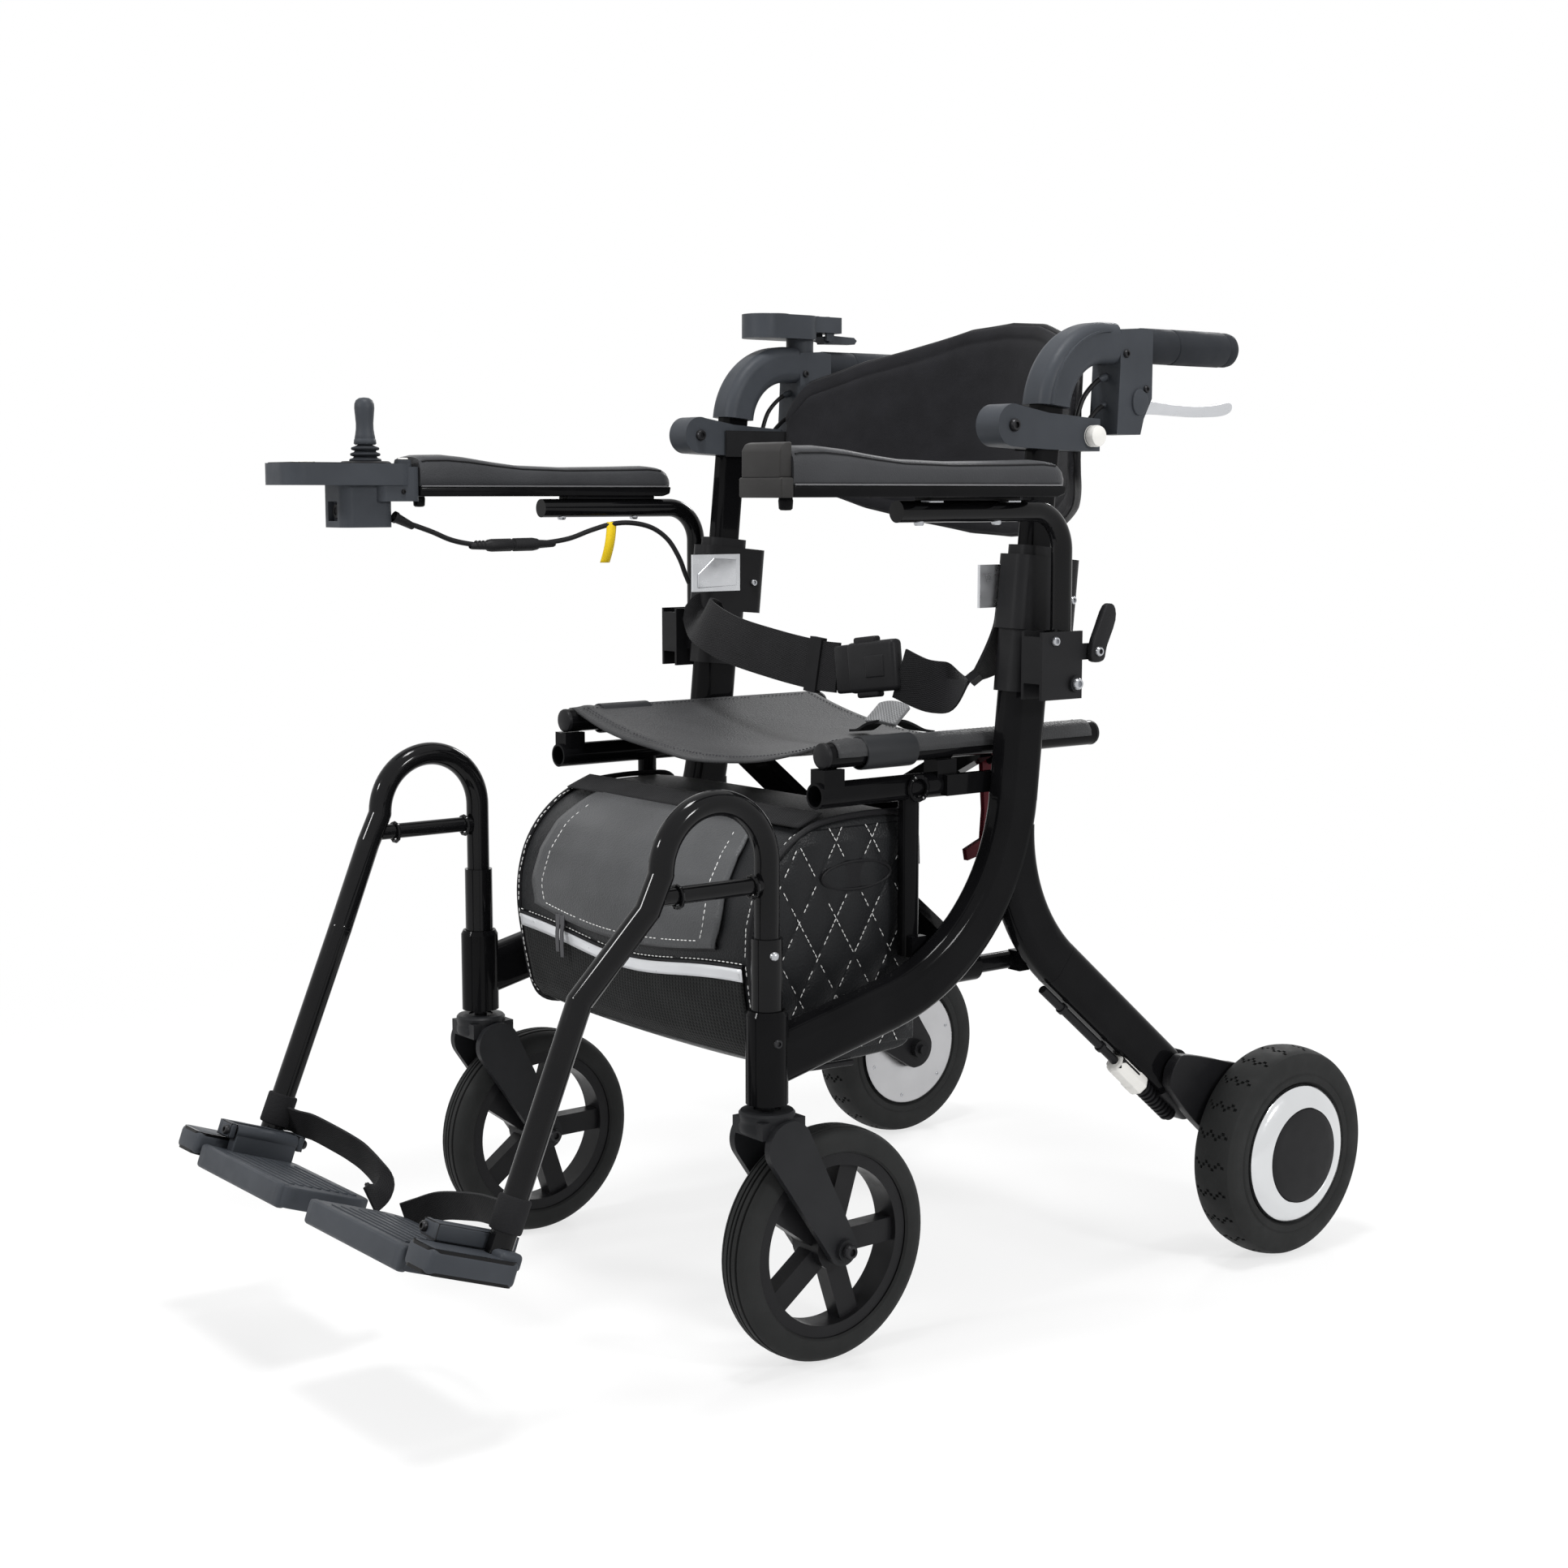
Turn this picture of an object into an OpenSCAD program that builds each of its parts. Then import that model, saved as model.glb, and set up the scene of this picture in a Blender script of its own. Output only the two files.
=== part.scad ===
// Rollator transport chair with hub motors and a joystick, as separate named pieces.
// Millimetres. +X is the user's left, -Y is the front, +Z is up, the floor is z = 0.

/* [Side frames] */
// Distance from the middle to each side frame
side_x = 224; // [200:1:250]
// In-plane depth of the frame tube
frame_d = 44; // [36:1:52]
// Width of the frame tube
frame_w = 28; // [22:1:34]
// Wall of the frame tube
frame_wall = 2; // [1.5:0.1:3]
// Backward lean of the uprights, degrees
lean = 5.7; // [0:0.1:12]
// Top of the frame tube
frame_top = 566; // [540:1:600]
// Bend radius of the front leg
bend_front = 190; // [150:1:230]
// Bend radius of the rear leg
bend_rear = 165; // [130:1:200]
// Slope of the front leg, degrees
slope_front = 13; // [5:0.5:25]
// Slope of the rear leg, degrees
slope_rear = 40; // [30:0.5:50]

/* [Casters] */
// Distance of the caster post axis in front of the frame datum
post_y = -247; // [-270:1:-220]
// Radius of the caster post
post_r = 17.5; // [15:0.5:20]
// Trail of the caster
trail = 60; // [40:1:70]
// Radius of all four wheels
wheel_r = 100; // [90:1:110]
// Width of the caster tyre
caster_w = 34; // [28:1:40]

/* [Rear wheels] */
// Distance from the middle to each rear wheel
rear_x = 277; // [260:1:290]
// Rear axle position along the chair
rear_y = 330; // [300:1:360]
// Width of the rear tyre
rear_w = 46; // [36:1:56]
// Radius of the motor shell
hub_r = 66; // [50:1:75]

/* [Seat] */
// Distance from the middle to each seat tube
seat_x = 195; // [180:1:197]
// Height of the seat tubes
seat_z = 504; // [480:1:530]
// Radius of the seat tubes
seat_r = 11; // [9:0.5:12.5]
// Sag of the seat
seat_sag = 30; // [10:1:40]
// Height of the seat rails
rail_z = 471; // [455:1:476]
// Height of the fold pivots
fold_z = 306; // [290:1:330]

/* [Handles] */
// Depth of the telescopic tube
upper_d = 30; // [24:1:34]
// Width of the telescopic tube
upper_w = 18; // [14:1:22]
// Height of the grip axis
grip_z = 851; // [800:1:900]
// Radius of the grips
grip_r = 16; // [14:0.5:18]
// Rear end of the grips
grip_end = 294; // [260:1:320]
// Height of the back arms
back_z = 775; // [750:1:790]

/* [Armrests] */
// Distance from the middle to each arm tube
arm_x = 264; // [258:1:270]
// Radius of the arm tubes
arm_r = 9; // [8:0.5:11]
// Height of the arm tubes
arm_z = 706; // [690:1:720]
// Distance from the middle to each pad
pad_x = 280; // [276:1:284]
// Width of the pads
pad_w = 54; // [50:1:62]
// Length of the pads
pad_l = 290; // [260:1:320]

/* [Legrests] */
// Radius of the legrest tubes
hang_r = 10.5; // [9:0.5:12]
// Distance from the middle to each lower legrest tube
hang_x = 196; // [185:1:210]
// Upward tilt of the footplates, degrees
plate_tilt = 20; // [0:1:25]
// Length of each footplate across the chair
plate_l = 160; // [150:1:166]
// Depth of each footplate along the chair
plate_d = 90; // [80:1:125]
// Width of the block outside each footplate
foot_block_w = 36; // [30:1:40]
// Depth of that block along the chair
foot_block_d = 80; // [60:1:90]

/* [Bag] */
// Width of the bag
bag_w = 364; // [300:1:364]
// Height of the bag
bag_h = 214; // [180:1:216]

/* [Hidden] */
$fn = 64;
gap = 0.5;
// Radial clearance of a turning pin
fit = 0.05;
// Rim of a caster wheel under its tyre
rim_r = wheel_r - 22;
// Side outline of the bag, from its rear floor round the front
bag_line = [[-60, 0], [-180, 0], [-206, 8], [-218, 26], [-226, 64], [-231, 100], [-230, 128], [-222, 156],
  [-206, 180], [-184, 198], [-158, 209], [-120, 213], [-56, 212], [-46, 198], [-44, 100], [-47, 10]];
// Straight tube is this much fuller than its bends
lap = 0.15;
// Shift of the chair so that the middle of its box is the origin
shift_y = 66.5;
c_frame = [0.10, 0.10, 0.11];
c_plastic = [0.24, 0.26, 0.28];
c_dark = [0.15, 0.15, 0.16];
c_cloth = [0.22, 0.22, 0.23];
c_rubber = [0.12, 0.12, 0.12];
c_silver = [0.75, 0.76, 0.77];
c_red = [0.35, 0.08, 0.09];

// Line of the uprights, and the two bends of the frame
up_a = 90 - lean;
bend_f_z = 459;
bend_r_z = 445;
bend_f_c = [upright_y(bend_f_z) - bend_front * sin(up_a), bend_f_z + bend_front * cos(up_a)];
bend_r_c = [upright_y(bend_r_z) + bend_rear * sin(up_a), bend_r_z - bend_rear * cos(up_a)];
leg_f = on_arc(bend_f_c, bend_front, slope_front);
leg_r = on_arc(bend_r_c, bend_rear, 360 - slope_rear);
leg_f_len = (leg_f[0] - post_y) / cos(slope_front);
leg_r_len = 222;

// Caster heights
post_low = 229;
post_high = 302;
fork_top = 223;
bore_r = 13.5;
insert_r = 13;
stem_r = 6;
axle_r = 5;

// Fold brace
arm_half = [seat_x, (seat_z - fold_z) / 2];
arm_len = norm([2 * arm_half[0], 2 * arm_half[1]]);
arm_slope = atan2(arm_half[1], arm_half[0]);
pivot_z = fold_z + arm_half[1];
brace_h = 24;
brace_w = 14;
brace_a_y = 0;
brace_b_y = 20;
lower_r = 8;

// Handle bend, at the top of the upright
elbow_r = 62;
elbow_z = grip_z - elbow_r * (1 - cos(up_a));
elbow_c = [upright_y(elbow_z) + elbow_r * sin(up_a), elbow_z - elbow_r * cos(up_a)];

// Armrest pivots
arm_pivot = [46, 559];
arm_back = 41;
arm_bend = 34;
pad_front = 5 - pad_l;

// Legrest bends: hoop, crossbar and foot
hoop_y = -299;
hoop_r = 52;
hoop_z = 427;
knee = [side_x, -364, 400];
bend = [hang_x, -409, 330];
foot = [hang_x, -488, 140];
plate_hinge = [hang_x, -506, 140];
// Middle of each plate in front of and below its hinge
plate_y = -9.5;
plate_z = -8;

// Helper's pod on the right handle and the pivot of its thumb lever
pod_y = 119;
thumb_y = 178;

// Joystick
stick_y = pad_front - 43;
stick_z = 742;

// Lead of the joystick, round points from the controller to the clamp on the frame
lead_r = 2.5;
lead_points = [[-262, pad_front - 24.3, 699], [-262, -299, 694], [-262, -286, 690], [-262, -268, 684],
  [-262, -250, 677], [-262, -232, 673], [-262, -212, 671], [-262, -180, 671], [-262, -148, 672],
  [-262, -116, 676], [-261, -90, 684], [-259, -66, 690], [-256, -44, 691], [-252, -22, 686],
  [-247, -6, 674], [-242, 4, 656], [-240, 10, 640], [-238.5, 14, 630]];

function upright_y(z) = 26 + (z - 460) * tan(lean);
function on_arc(c, r, a) = [c[0] + r * sin(a), c[1] - r * cos(a)];

module placed() {
  translate([0, shift_y, 0]) children();
}

module right_hand() {
  mirror([1, 0, 0]) children();
}

// Rounded rectangle in the plane, centred
module rounded(a, b, r) {
  square([a - 2 * r, b], center = true);
  square([a, b - 2 * r], center = true);
  for (i = [-1, 1], j = [-1, 1]) {
    translate([i * (a / 2 - r), j * (b / 2 - r)]) circle(r);
  }
}

// Straight length in the plane of a side, from p along the angle a above the rear direction
module run(x, p, a, len) {
  translate([x, p[0], p[1]]) rotate([a - 90, 0, 0]) linear_extrude(len) children();
}

// Straight length that starts a little inside the bend before it
module lap_run(x, p, a, len) {
  run(x, [p[0] - 3 * cos(a), p[1] - 3 * sin(a)], a, len + 3) children();
}

// Bent length in the plane of a side
module turn(x, c, r, a0, a1) {
  translate([x, c[0], c[1]]) rotate([0, 90, 0]) rotate([0, 0, a0])
    rotate_extrude(angle = a1 - a0) translate([r, 0]) children();
}

module bar_x(p, r, len) {
  translate(p) rotate([0, 90, 0]) cylinder(r = r, h = len, center = true);
}

module bar_y(x, y0, y1, z, r) {
  translate([x, y0, z]) rotate([-90, 0, 0]) cylinder(r = r, h = y1 - y0);
}

// Block with four rounded edges along Z
module block(size, r) {
  linear_extrude(size[2], center = true) rounded(size[0], size[1], r);
}

// Round tube between two points
module strut(a, b, r) {
  d = b - a;
  translate(a) rotate([0, acos(d[2] / norm(d)), atan2(d[1], d[0])]) cylinder(r = r, h = norm(d));
}

// Side frame: a bent tube from the upright to the caster post, and a rear leg coped to it
module front_form(d, w, r) {
  lap_run(side_x, [upright_y(bend_f_z), bend_f_z], up_a, (frame_top - bend_f_z) / cos(lean)) {
    rounded(w + 2 * lap, d + 2 * lap, r + lap);
  }
  turn(side_x, bend_f_c, bend_front, slope_front, up_a) rounded(d, w, r);
  lap_run(side_x, leg_f, slope_front + 180, leg_f_len) rounded(w + 2 * lap, d + 2 * lap, r + lap);
}

module rear_form(d, w, r, more) {
  turn(side_x, bend_r_c, bend_rear, 180 + up_a + 4, 360 - slope_rear) rounded(d, w, r);
  lap_run(side_x, leg_r, -slope_rear, leg_r_len + more) rounded(w + 2 * lap, d + 2 * lap, r + lap);
}

module side_frame() {
  inner_d = frame_d - 2 * frame_wall;
  inner_w = frame_w - 2 * frame_wall;
  difference() {
    union() {
      front_form(frame_d, frame_w, 11);
      translate([side_x, post_y, post_low]) cylinder(r = post_r, h = post_high - post_low);
      translate([side_x, post_y, post_high]) cylinder(r1 = post_r, r2 = 15.5, h = 4);
    }
    difference() {
      front_form(inner_d, inner_w, 9);
      translate([side_x, post_y, 200]) cylinder(r = post_r - 0.5, h = 140);
    }
    run(side_x, [upright_y(540), 540], up_a, 60) rounded(inner_w, inner_d, 9);
    translate([side_x, post_y, 252]) cylinder(r = bore_r, h = 80);
    translate([side_x, post_y, post_low - 1]) cylinder(r = 11, h = 40);
  }
  difference() {
    rear_form(frame_d - 1, frame_w - 1, 10.5, 0);
    front_form(frame_d, frame_w, 11);
    rear_form(inner_d - 1, inner_w - 1, 8.5, 0.1);
  }
}

module side_frame_left() {
  color(c_frame) placed() side_frame();
}

module side_frame_right() {
  color(c_frame) placed() right_hand() side_frame();
}

// Seat rail with its saddles, post and the lower rail that the fold brace turns on
module seat_rail() {
  inner = side_x - frame_w / 2 - lap;
  difference() {
    union() {
      bar_y(seat_x, -174, -16, rail_z, 11);
      translate([seat_x, -70, 325]) cylinder(r = 9, h = rail_z - 325);
      for (y = [-160, -34]) {
        translate([seat_x, y, rail_z + 8]) cube([18, 22, 28], center = true);
      }
    }
    bar_y(seat_x, -200, 60, seat_z, seat_r + gap);
    bar_y(seat_x, -175, 20, rail_z, 9);
    translate([seat_x, -70, 320]) cylinder(r = 7, h = 140);
  }
  difference() {
    translate([(inner + seat_x) / 2, -8, rail_z]) cube([inner - seat_x, 62, 18], center = true);
    bar_y(seat_x, -200, 60, rail_z, 11);
  }
  translate([(inner + seat_x + 9) / 2 - 1, -70, 334]) cube([inner - seat_x - 7, 16, 18], center = true);
  bar_y(seat_x, -36, 62, fold_z, lower_r);
  for (y = [-36, 56]) {
    translate([(inner + seat_x) / 2, y, fold_z]) cube([inner - seat_x, 12, 18], center = true);
  }
}

module seat_rail_left() {
  pin = side_x - frame_w / 2 - lap - 166;
  color(c_frame) placed() {
    seat_rail();
    bar_x([166 + pin / 2, 44, 485], 4, pin);
  }
}

module seat_rail_right() {
  color(c_frame) placed() right_hand() seat_rail();
}

// Height clamp: sleeve over the frame tube, head with a pocket for its button
module clamp_outer() {
  run(side_x, [upright_y(frame_top - 17), frame_top - 17], up_a, 60) rounded(34, 50, 12);
  run(side_x, [upright_y(602) + 8, 602], up_a, 64) rounded(34, 74, 10);
  run(side_x, [upright_y(655), 655], up_a, 20) rounded(30, 44, 10);
}

module clamp_form() {
  p = [upright_y(frame_top - 17), frame_top - 17];
  difference() {
    clamp_outer();
    run(side_x, p, up_a, 17.1) rounded(frame_w + 2 * lap, frame_d + 2 * lap, 11 + lap);
    run(side_x, p, up_a, 200) rounded(upper_w + 2 * gap, upper_d + 2 * gap, 6 + gap);
    translate([side_x - 16.5, upright_y(638) - 18, 641]) cube([12, 60, 38], center = true);
  }
}

module height_clamp_left() {
  color(c_plastic) placed() clamp_form();
}

module height_clamp_right() {
  color(c_plastic) placed() right_hand() clamp_form();
}

// Press plate of the height clamp, set into the inner face
module height_button() {
  translate([side_x - 15, upright_y(638) - 18, 641]) cube([3, 59, 37], center = true);
}

module height_button_left() {
  color(c_silver) placed() height_button();
}

module height_button_right() {
  color(c_silver) placed() right_hand() height_button();
}

// Armrest bracket: two cheeks, front web, pivot bolt and the spacer that meets the clamp
module arm_bracket() {
  web = 3;
  for (x = [arm_x - arm_r - gap - web / 2, arm_x + arm_r + gap + web / 2]) {
    difference() {
      translate([x, 31, 575]) cube([web, 48, 58], center = true);
      bar_x([x, arm_pivot[0], arm_pivot[1]], 4, 20);
    }
  }
  translate([arm_x, 9, 580]) cube([2 * (arm_r + gap), 4, 40], center = true);
  bar_x([arm_x, arm_pivot[0], arm_pivot[1]], 4, 2 * (arm_r + gap + web));
  bar_x([arm_x + arm_r + gap + web + 1.5, arm_pivot[0], arm_pivot[1]], 7, 3);
  difference() {
    bar_x([arm_x + arm_r + gap + web + 4, 68, 586], 3, 8);
    translate([arm_x, 68, 586]) cube([2 * (arm_r + gap + web), 20, 20], center = true);
  }
  difference() {
    translate([(side_x + arm_x - arm_r - gap - web) / 2, 35, 578]) {
      cube([arm_x - arm_r - gap - web - side_x, 30, 30], center = true);
    }
    run(side_x, [upright_y(500), 500], up_a, 110) rounded(34, 50, 12);
    run(side_x, [upright_y(602) + 8, 602], up_a, 64) rounded(34, 74, 10);
    run(side_x, [upright_y(500), 500], up_a, 68) rounded(frame_w + 2 * lap, frame_d + 2 * lap, 11 + lap);
  }
  translate([arm_x + arm_r + gap + web / 2, 62, 586]) cube([web, 20, 14], center = true);
}

module arm_bracket_left() {
  color(c_dark) placed() arm_bracket();
}

module arm_bracket_right() {
  color(c_dark) placed() right_hand() arm_bracket();
}

// Release lever of the armrest, on the outer cheek
module arm_latch() {
  x = arm_x + arm_r + gap + 3 + gap;
  difference() {
    translate([x, 0, 0]) rotate([90, 0, 90]) linear_extrude(6) polygon([[60, 577], [76, 577], [80, 590],
      [90, 612], [88, 626], [76, 626], [66, 606], [60, 592]]);
    bar_x([x, 68, 586], 3 + gap, 40);
  }
}

module arm_latch_left() {
  color(c_plastic) placed() arm_latch();
}

module arm_latch_right() {
  color(c_plastic) placed() right_hand() arm_latch();
}

// Armrest tube: lower end on the pivot bolt, bend, level length under the pad
module arm_tube() {
  difference() {
    union() {
      translate([arm_x, arm_back, 546]) cylinder(r = arm_r, h = arm_z - arm_bend - 546);
      bar_x([arm_x, arm_pivot[0], arm_pivot[1]], 11, 2 * arm_r);
    }
    bar_x([arm_x, arm_pivot[0], arm_pivot[1]], 4 + gap, 40);
    translate([arm_x, arm_back, 572]) cylinder(r = arm_r - 2, h = 200);
  }
  turn(arm_x, [arm_back - arm_bend, arm_z - arm_bend], arm_bend, 90, 180) difference() {
    circle(arm_r);
    circle(arm_r - 2);
  }
  difference() {
    bar_y(arm_x, -146, arm_back - arm_bend, arm_z, arm_r);
    bar_y(arm_x, -140, arm_back, arm_z, arm_r - 2);
  }
}

module arm_tube_left() {
  color(c_frame) placed() arm_tube();
}

module arm_tube_right() {
  color(c_frame) placed() right_hand() arm_tube();
}

// Armrest pad: hard tray below, padded body above, saddle blocks down to the tube
module arm_pad() {
  low = 717;
  translate([pad_x, pad_front + pad_l / 2, low + 5]) block([pad_w, pad_l, 10], 8);
  difference() {
    translate([pad_x, pad_front + pad_l / 2, low + 24]) block([pad_w, pad_l, 28], 8);
    translate([pad_x, -80, 1042]) rotate([0, 90, 0]) cylinder(r = 297, h = 100, center = true, $fn = 160);
    translate([pad_x, 20, 766]) rotate([-14, 0, 0]) cube([100, 130, 20], center = true);
  }
  difference() {
    for (y = [-112, -20]) {
      translate([arm_x, y, 711]) cube([16, 24, 12], center = true);
    }
    bar_y(arm_x, -200, 40, arm_z, arm_r);
  }
}

module arm_pad_left() {
  color(c_cloth) placed() {
    arm_pad();
    front_block();
  }
}

module arm_pad_right() {
  color(c_cloth) placed() right_hand() arm_pad();
}

// Plastic end block of the left pad, where a controller would fit
module front_block() {
  translate([pad_x, pad_front - 5, 745]) block([pad_w - 6, 14, 28], 6);
  translate([pad_x, pad_front - 5, 724]) block([pad_w - 2, 14, 14], 6);
  translate([pad_x, pad_front + 12, 707]) cylinder(r1 = 7, r2 = 10, h = 10);
}

// Controller on the right pad: flat panel, body, lower box with a socket and the stick well
module joystick_pod() {
  color(c_plastic) placed() right_hand() difference() {
    union() {
      translate([pad_x, pad_front - 70.5, 738]) block([60, 133, 20], 18);
      translate([pad_x, pad_front - 22, 729]) block([56, 44, 32], 8);
      translate([pad_x, pad_front - 51.5, 709]) block([44, 53, 40], 10);
      translate([pad_x - 17, pad_front - 13, 749]) block([10, 14, 6], 3);
    }
    translate([pad_x, stick_y, stick_z - 12.5]) cylinder(r = 22.5, h = 40);
    bar_x([pad_x, stick_y, stick_z - 6], 2 + fit, 50);
    translate([pad_x, pad_front - 78, 704]) cube([18, 12, 18], center = true);
  }
}

// Gimbal ring under the stick
module joystick_gimbal() {
  color(c_dark) placed() right_hand() translate([pad_x, stick_y, stick_z - 6]) {
    difference() {
      cylinder(r = 10, h = 6, center = true);
      cylinder(r = 7.5, h = 10, center = true);
      rotate([90, 0, 0]) cylinder(r = 2 + fit, h = 40, center = true);
    }
    for (s = [-1, 1]) {
      translate([s * 16, 0, 0]) rotate([0, 90, 0]) cylinder(r = 2, h = 16, center = true);
    }
  }
}

// Stick with its bellows boot and waisted knob
module joystick_stick() {
  color(c_rubber) placed() right_hand() translate([pad_x, stick_y, stick_z - 6]) {
    translate([0, 0, -4]) cylinder(r = 5, h = 44);
    rotate([90, 0, 0]) cylinder(r = 2, h = 19, center = true);
    translate([0, 0, 14]) rotate_extrude() polygon([[5, 0], [14, 0], [15, 2], [12, 4], [14, 6], [10, 9],
      [12, 11], [8, 14], [5, 15]]);
    translate([0, 0, 30]) rotate_extrude() polygon([[5, 0], [10.3, 0], [10, 4], [8.6, 11], [8, 18], [8.4, 26],
      [9.2, 34], [9, 38], [7, 41.5], [0, 43], [0, 8], [5, 8]]);
  }
}

// Lead of the joystick
module joystick_lead() {
  color(c_rubber) placed() lead_tube(lead_points, lead_r, 8);
}

module lead_tube(pts, r, n) {
  m = len(pts);
  rings = [for (i = [0 : m - 1]) let (
      a = pts[max(i - 1, 0)],
      b = pts[min(i + 1, m - 1)],
      t = (b - a) / norm(b - a),
      s = cross(t, [1, 0, 0]) / norm(cross(t, [1, 0, 0])),
      u = cross(s, t))
    [for (k = [0 : n - 1]) pts[i] + r * (cos(360 * k / n) * s + sin(360 * k / n) * u)]];
  flat = [for (ring = rings) for (p = ring) p];
  sides = [for (i = [0 : m - 2]) for (k = [0 : n - 1]) let (j = (k + 1) % n)
    [i * n + k, i * n + j, (i + 1) * n + j, (i + 1) * n + k]];
  caps = [[for (k = [n - 1 : -1 : 0]) k], [for (k = [0 : n - 1]) (m - 1) * n + k]];
  polyhedron(flat, concat(sides, caps));
}

// Rear axle bracket: end block on the leg, plate, axle, nut and the motor lead
module axle_bracket() {
  end = [leg_r[0] + leg_r_len * cos(slope_rear), leg_r[1] - leg_r_len * sin(slope_rear)];
  start = [end[0] - 34 * cos(slope_rear), end[1] + 34 * sin(slope_rear)];
  inner = side_x + frame_w / 2;
  plate_x = inner + 3;
  difference() {
    union() {
      run(side_x, start, -slope_rear, 46) rounded(frame_w + 6, frame_d + 6, 12);
      translate([plate_x, 0, 0]) rotate([90, 0, 90]) linear_extrude(8) {
        hull() {
          translate(start) circle(20);
          translate([rear_y - 50, wheel_r + 50]) circle(36);
          translate([rear_y, wheel_r]) circle(22);
        }
      }
    }
    run(side_x, [start[0] - 20 * cos(slope_rear), start[1] + 20 * sin(slope_rear)], -slope_rear, 54) {
      rounded(frame_w - 1 + 2 * lap, frame_d - 1 + 2 * lap, 10.5 + lap);
    }
    bar_x([plate_x, rear_y, wheel_r], axle_r, 60);
  }
  bar_x([(plate_x - 12 + rear_x + 16) / 2, rear_y, wheel_r], axle_r, rear_x + 16 - plate_x + 12);
  difference() {
    bar_x([plate_x - 4, rear_y, wheel_r], 10, 8);
    bar_x([plate_x - 4, rear_y, wheel_r], axle_r, 20);
  }
}

module motor_lead() {
  n = [sin(slope_rear), cos(slope_rear)];
  out = (frame_d - 1) / 2 + lap + 6;
  a = [leg_r[0] - out * n[0], leg_r[1] - out * n[1]];
  run(side_x, a, -slope_rear, 125) circle(4);
  run(side_x, [a[0] + 125 * cos(slope_rear), a[1] - 125 * sin(slope_rear)], -slope_rear, 42) rounded(18, 12, 3);
  run(side_x, [a[0] + 167 * cos(slope_rear), a[1] - 167 * sin(slope_rear)], -slope_rear, 56) circle(6);
}

module axle_bracket_left() {
  color(c_dark) placed() {
    axle_bracket();
    motor_lead();
  }
}

module axle_bracket_right() {
  color(c_dark) placed() right_hand() {
    axle_bracket();
    motor_lead();
  }
}

// Storage bag: closed soft shell with a swept back front, hung by tabs on the seat rails
module bag_form(w, share) {
  translate([0, -138, 236 + bag_h / 2]) rotate([90, 0, 90]) linear_extrude(w, center = true) scale([share, share])
    translate([138, -bag_h / 2]) polygon(bag_line);
}

module storage_bag() {
  color(c_cloth) placed() difference() {
    union() {
      bag_form(bag_w, 1);
      for (s = [-1, 1], y = [-132, -104]) {
        translate([s * (bag_w / 2 - 4), y, 454]) cube([24, 24, 20], center = true);
      }
    }
    bag_form(bag_w - 8, 0.955);
    bar_y(seat_x, -200, 0, rail_z, 11);
    bar_y(-seat_x, -200, 0, rail_z, 11 + gap);
  }
}

// Battery and motor control, standing in the bag against its left side
module battery_pack() {
  floor_z = 236 + 0.0225 * bag_h;
  color(c_dark) placed() {
    translate([132, -120, floor_z + 55]) block([70, 108, 110], 8);
    translate([132, -120, floor_z + 110 + 20]) block([60, 90, 40], 4);
  }
}

// Seat belt: two webbing halves and the buckle
module band(a, b, h) {
  hull() {
    translate(a) cube([2, 2, h], center = true);
    translate(b) cube([2, 2, h], center = true);
  }
}

module seat_belt() {
  left = [[214, 26, 596], [203, 4, 596], [186, -10, 592], [150, -18, 580], [124, -20, 570]];
  right = [[-214, 26, 596], [-203, 4, 596], [-150, -14, 580], [-80, -20, 562], [-10, -22, 556], [42, -22, 560]];
  color(c_cloth) placed() difference() {
    union() {
      for (i = [0 : len(left) - 2]) {
        band(left[i], left[i + 1], 40);
      }
      for (i = [0 : len(right) - 2]) {
        band(right[i], right[i + 1], 40);
      }
      translate([83, -21, 565]) rotate([0, -7, 0]) cube([84, 14, 46], center = true);
    }
    clamp_outer();
    right_hand() clamp_cut();
  }
}

module clamp_cut() {
  run(side_x, [upright_y(540), 540], up_a, 110) rounded(34 + 2 * gap, 50 + 2 * gap, 12);
  run(side_x, [upright_y(601) + 8, 601], up_a, 66) rounded(34 + 2 * gap, 74 + 2 * gap, 10);
}

// Fold brace: arm a turns on the left lower rail and carries the right seat tube
module brace(w_y) {
  translate([0, w_y, pivot_z]) rotate([0, arm_slope, 0]) difference() {
    cube([arm_len - 2, brace_w, brace_h], center = true);
    cube([arm_len - 60, brace_w - 4, brace_h - 4], center = true);
    rotate([90, 0, 0]) cylinder(r = 5, h = 40, center = true);
  }
}

module brace_sleeve(x, y0, y1) {
  bar_y(x, y0, y1, fold_z, lower_r + 5);
}

module cross_arm_a() {
  color(c_frame) placed() {
    difference() {
      union() {
        brace(brace_a_y);
        brace_sleeve(seat_x, -28, 7);
      }
      bar_y(seat_x, -60, 80, fold_z, lower_r + gap);
      bar_y(-seat_x, -60, 80, seat_z, seat_r);
      translate([-seat_x - 60, 0, seat_z]) cube([120, 60, 60], center = true);
    }
    bar_y(0, brace_a_y - 10, brace_b_y + 10, pivot_z, 5);
    bar_y(0, brace_a_y - 11, brace_a_y - 7, pivot_z, 9);
    bar_y(0, brace_b_y + 7.5, brace_b_y + 11, pivot_z, 9);
  }
}

module cross_arm_b() {
  color(c_frame) placed() right_hand() difference() {
    union() {
      brace(brace_b_y);
      brace_sleeve(seat_x, 13, 48);
    }
    bar_y(seat_x, -60, 80, fold_z, lower_r + gap);
    bar_y(-seat_x, -60, 80, seat_z, seat_r);
    translate([-seat_x - 60, 20, seat_z]) cube([120, 60, 60], center = true);
    bar_y(0, 0, 60, pivot_z, 5 + gap);
  }
}

// Seat tubes with their end caps
module seat_tube() {
  difference() {
    bar_y(seat_x, -165, 149, seat_z, seat_r);
    bar_y(seat_x, -159, 143, seat_z, seat_r - 2);
  }
}

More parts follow.
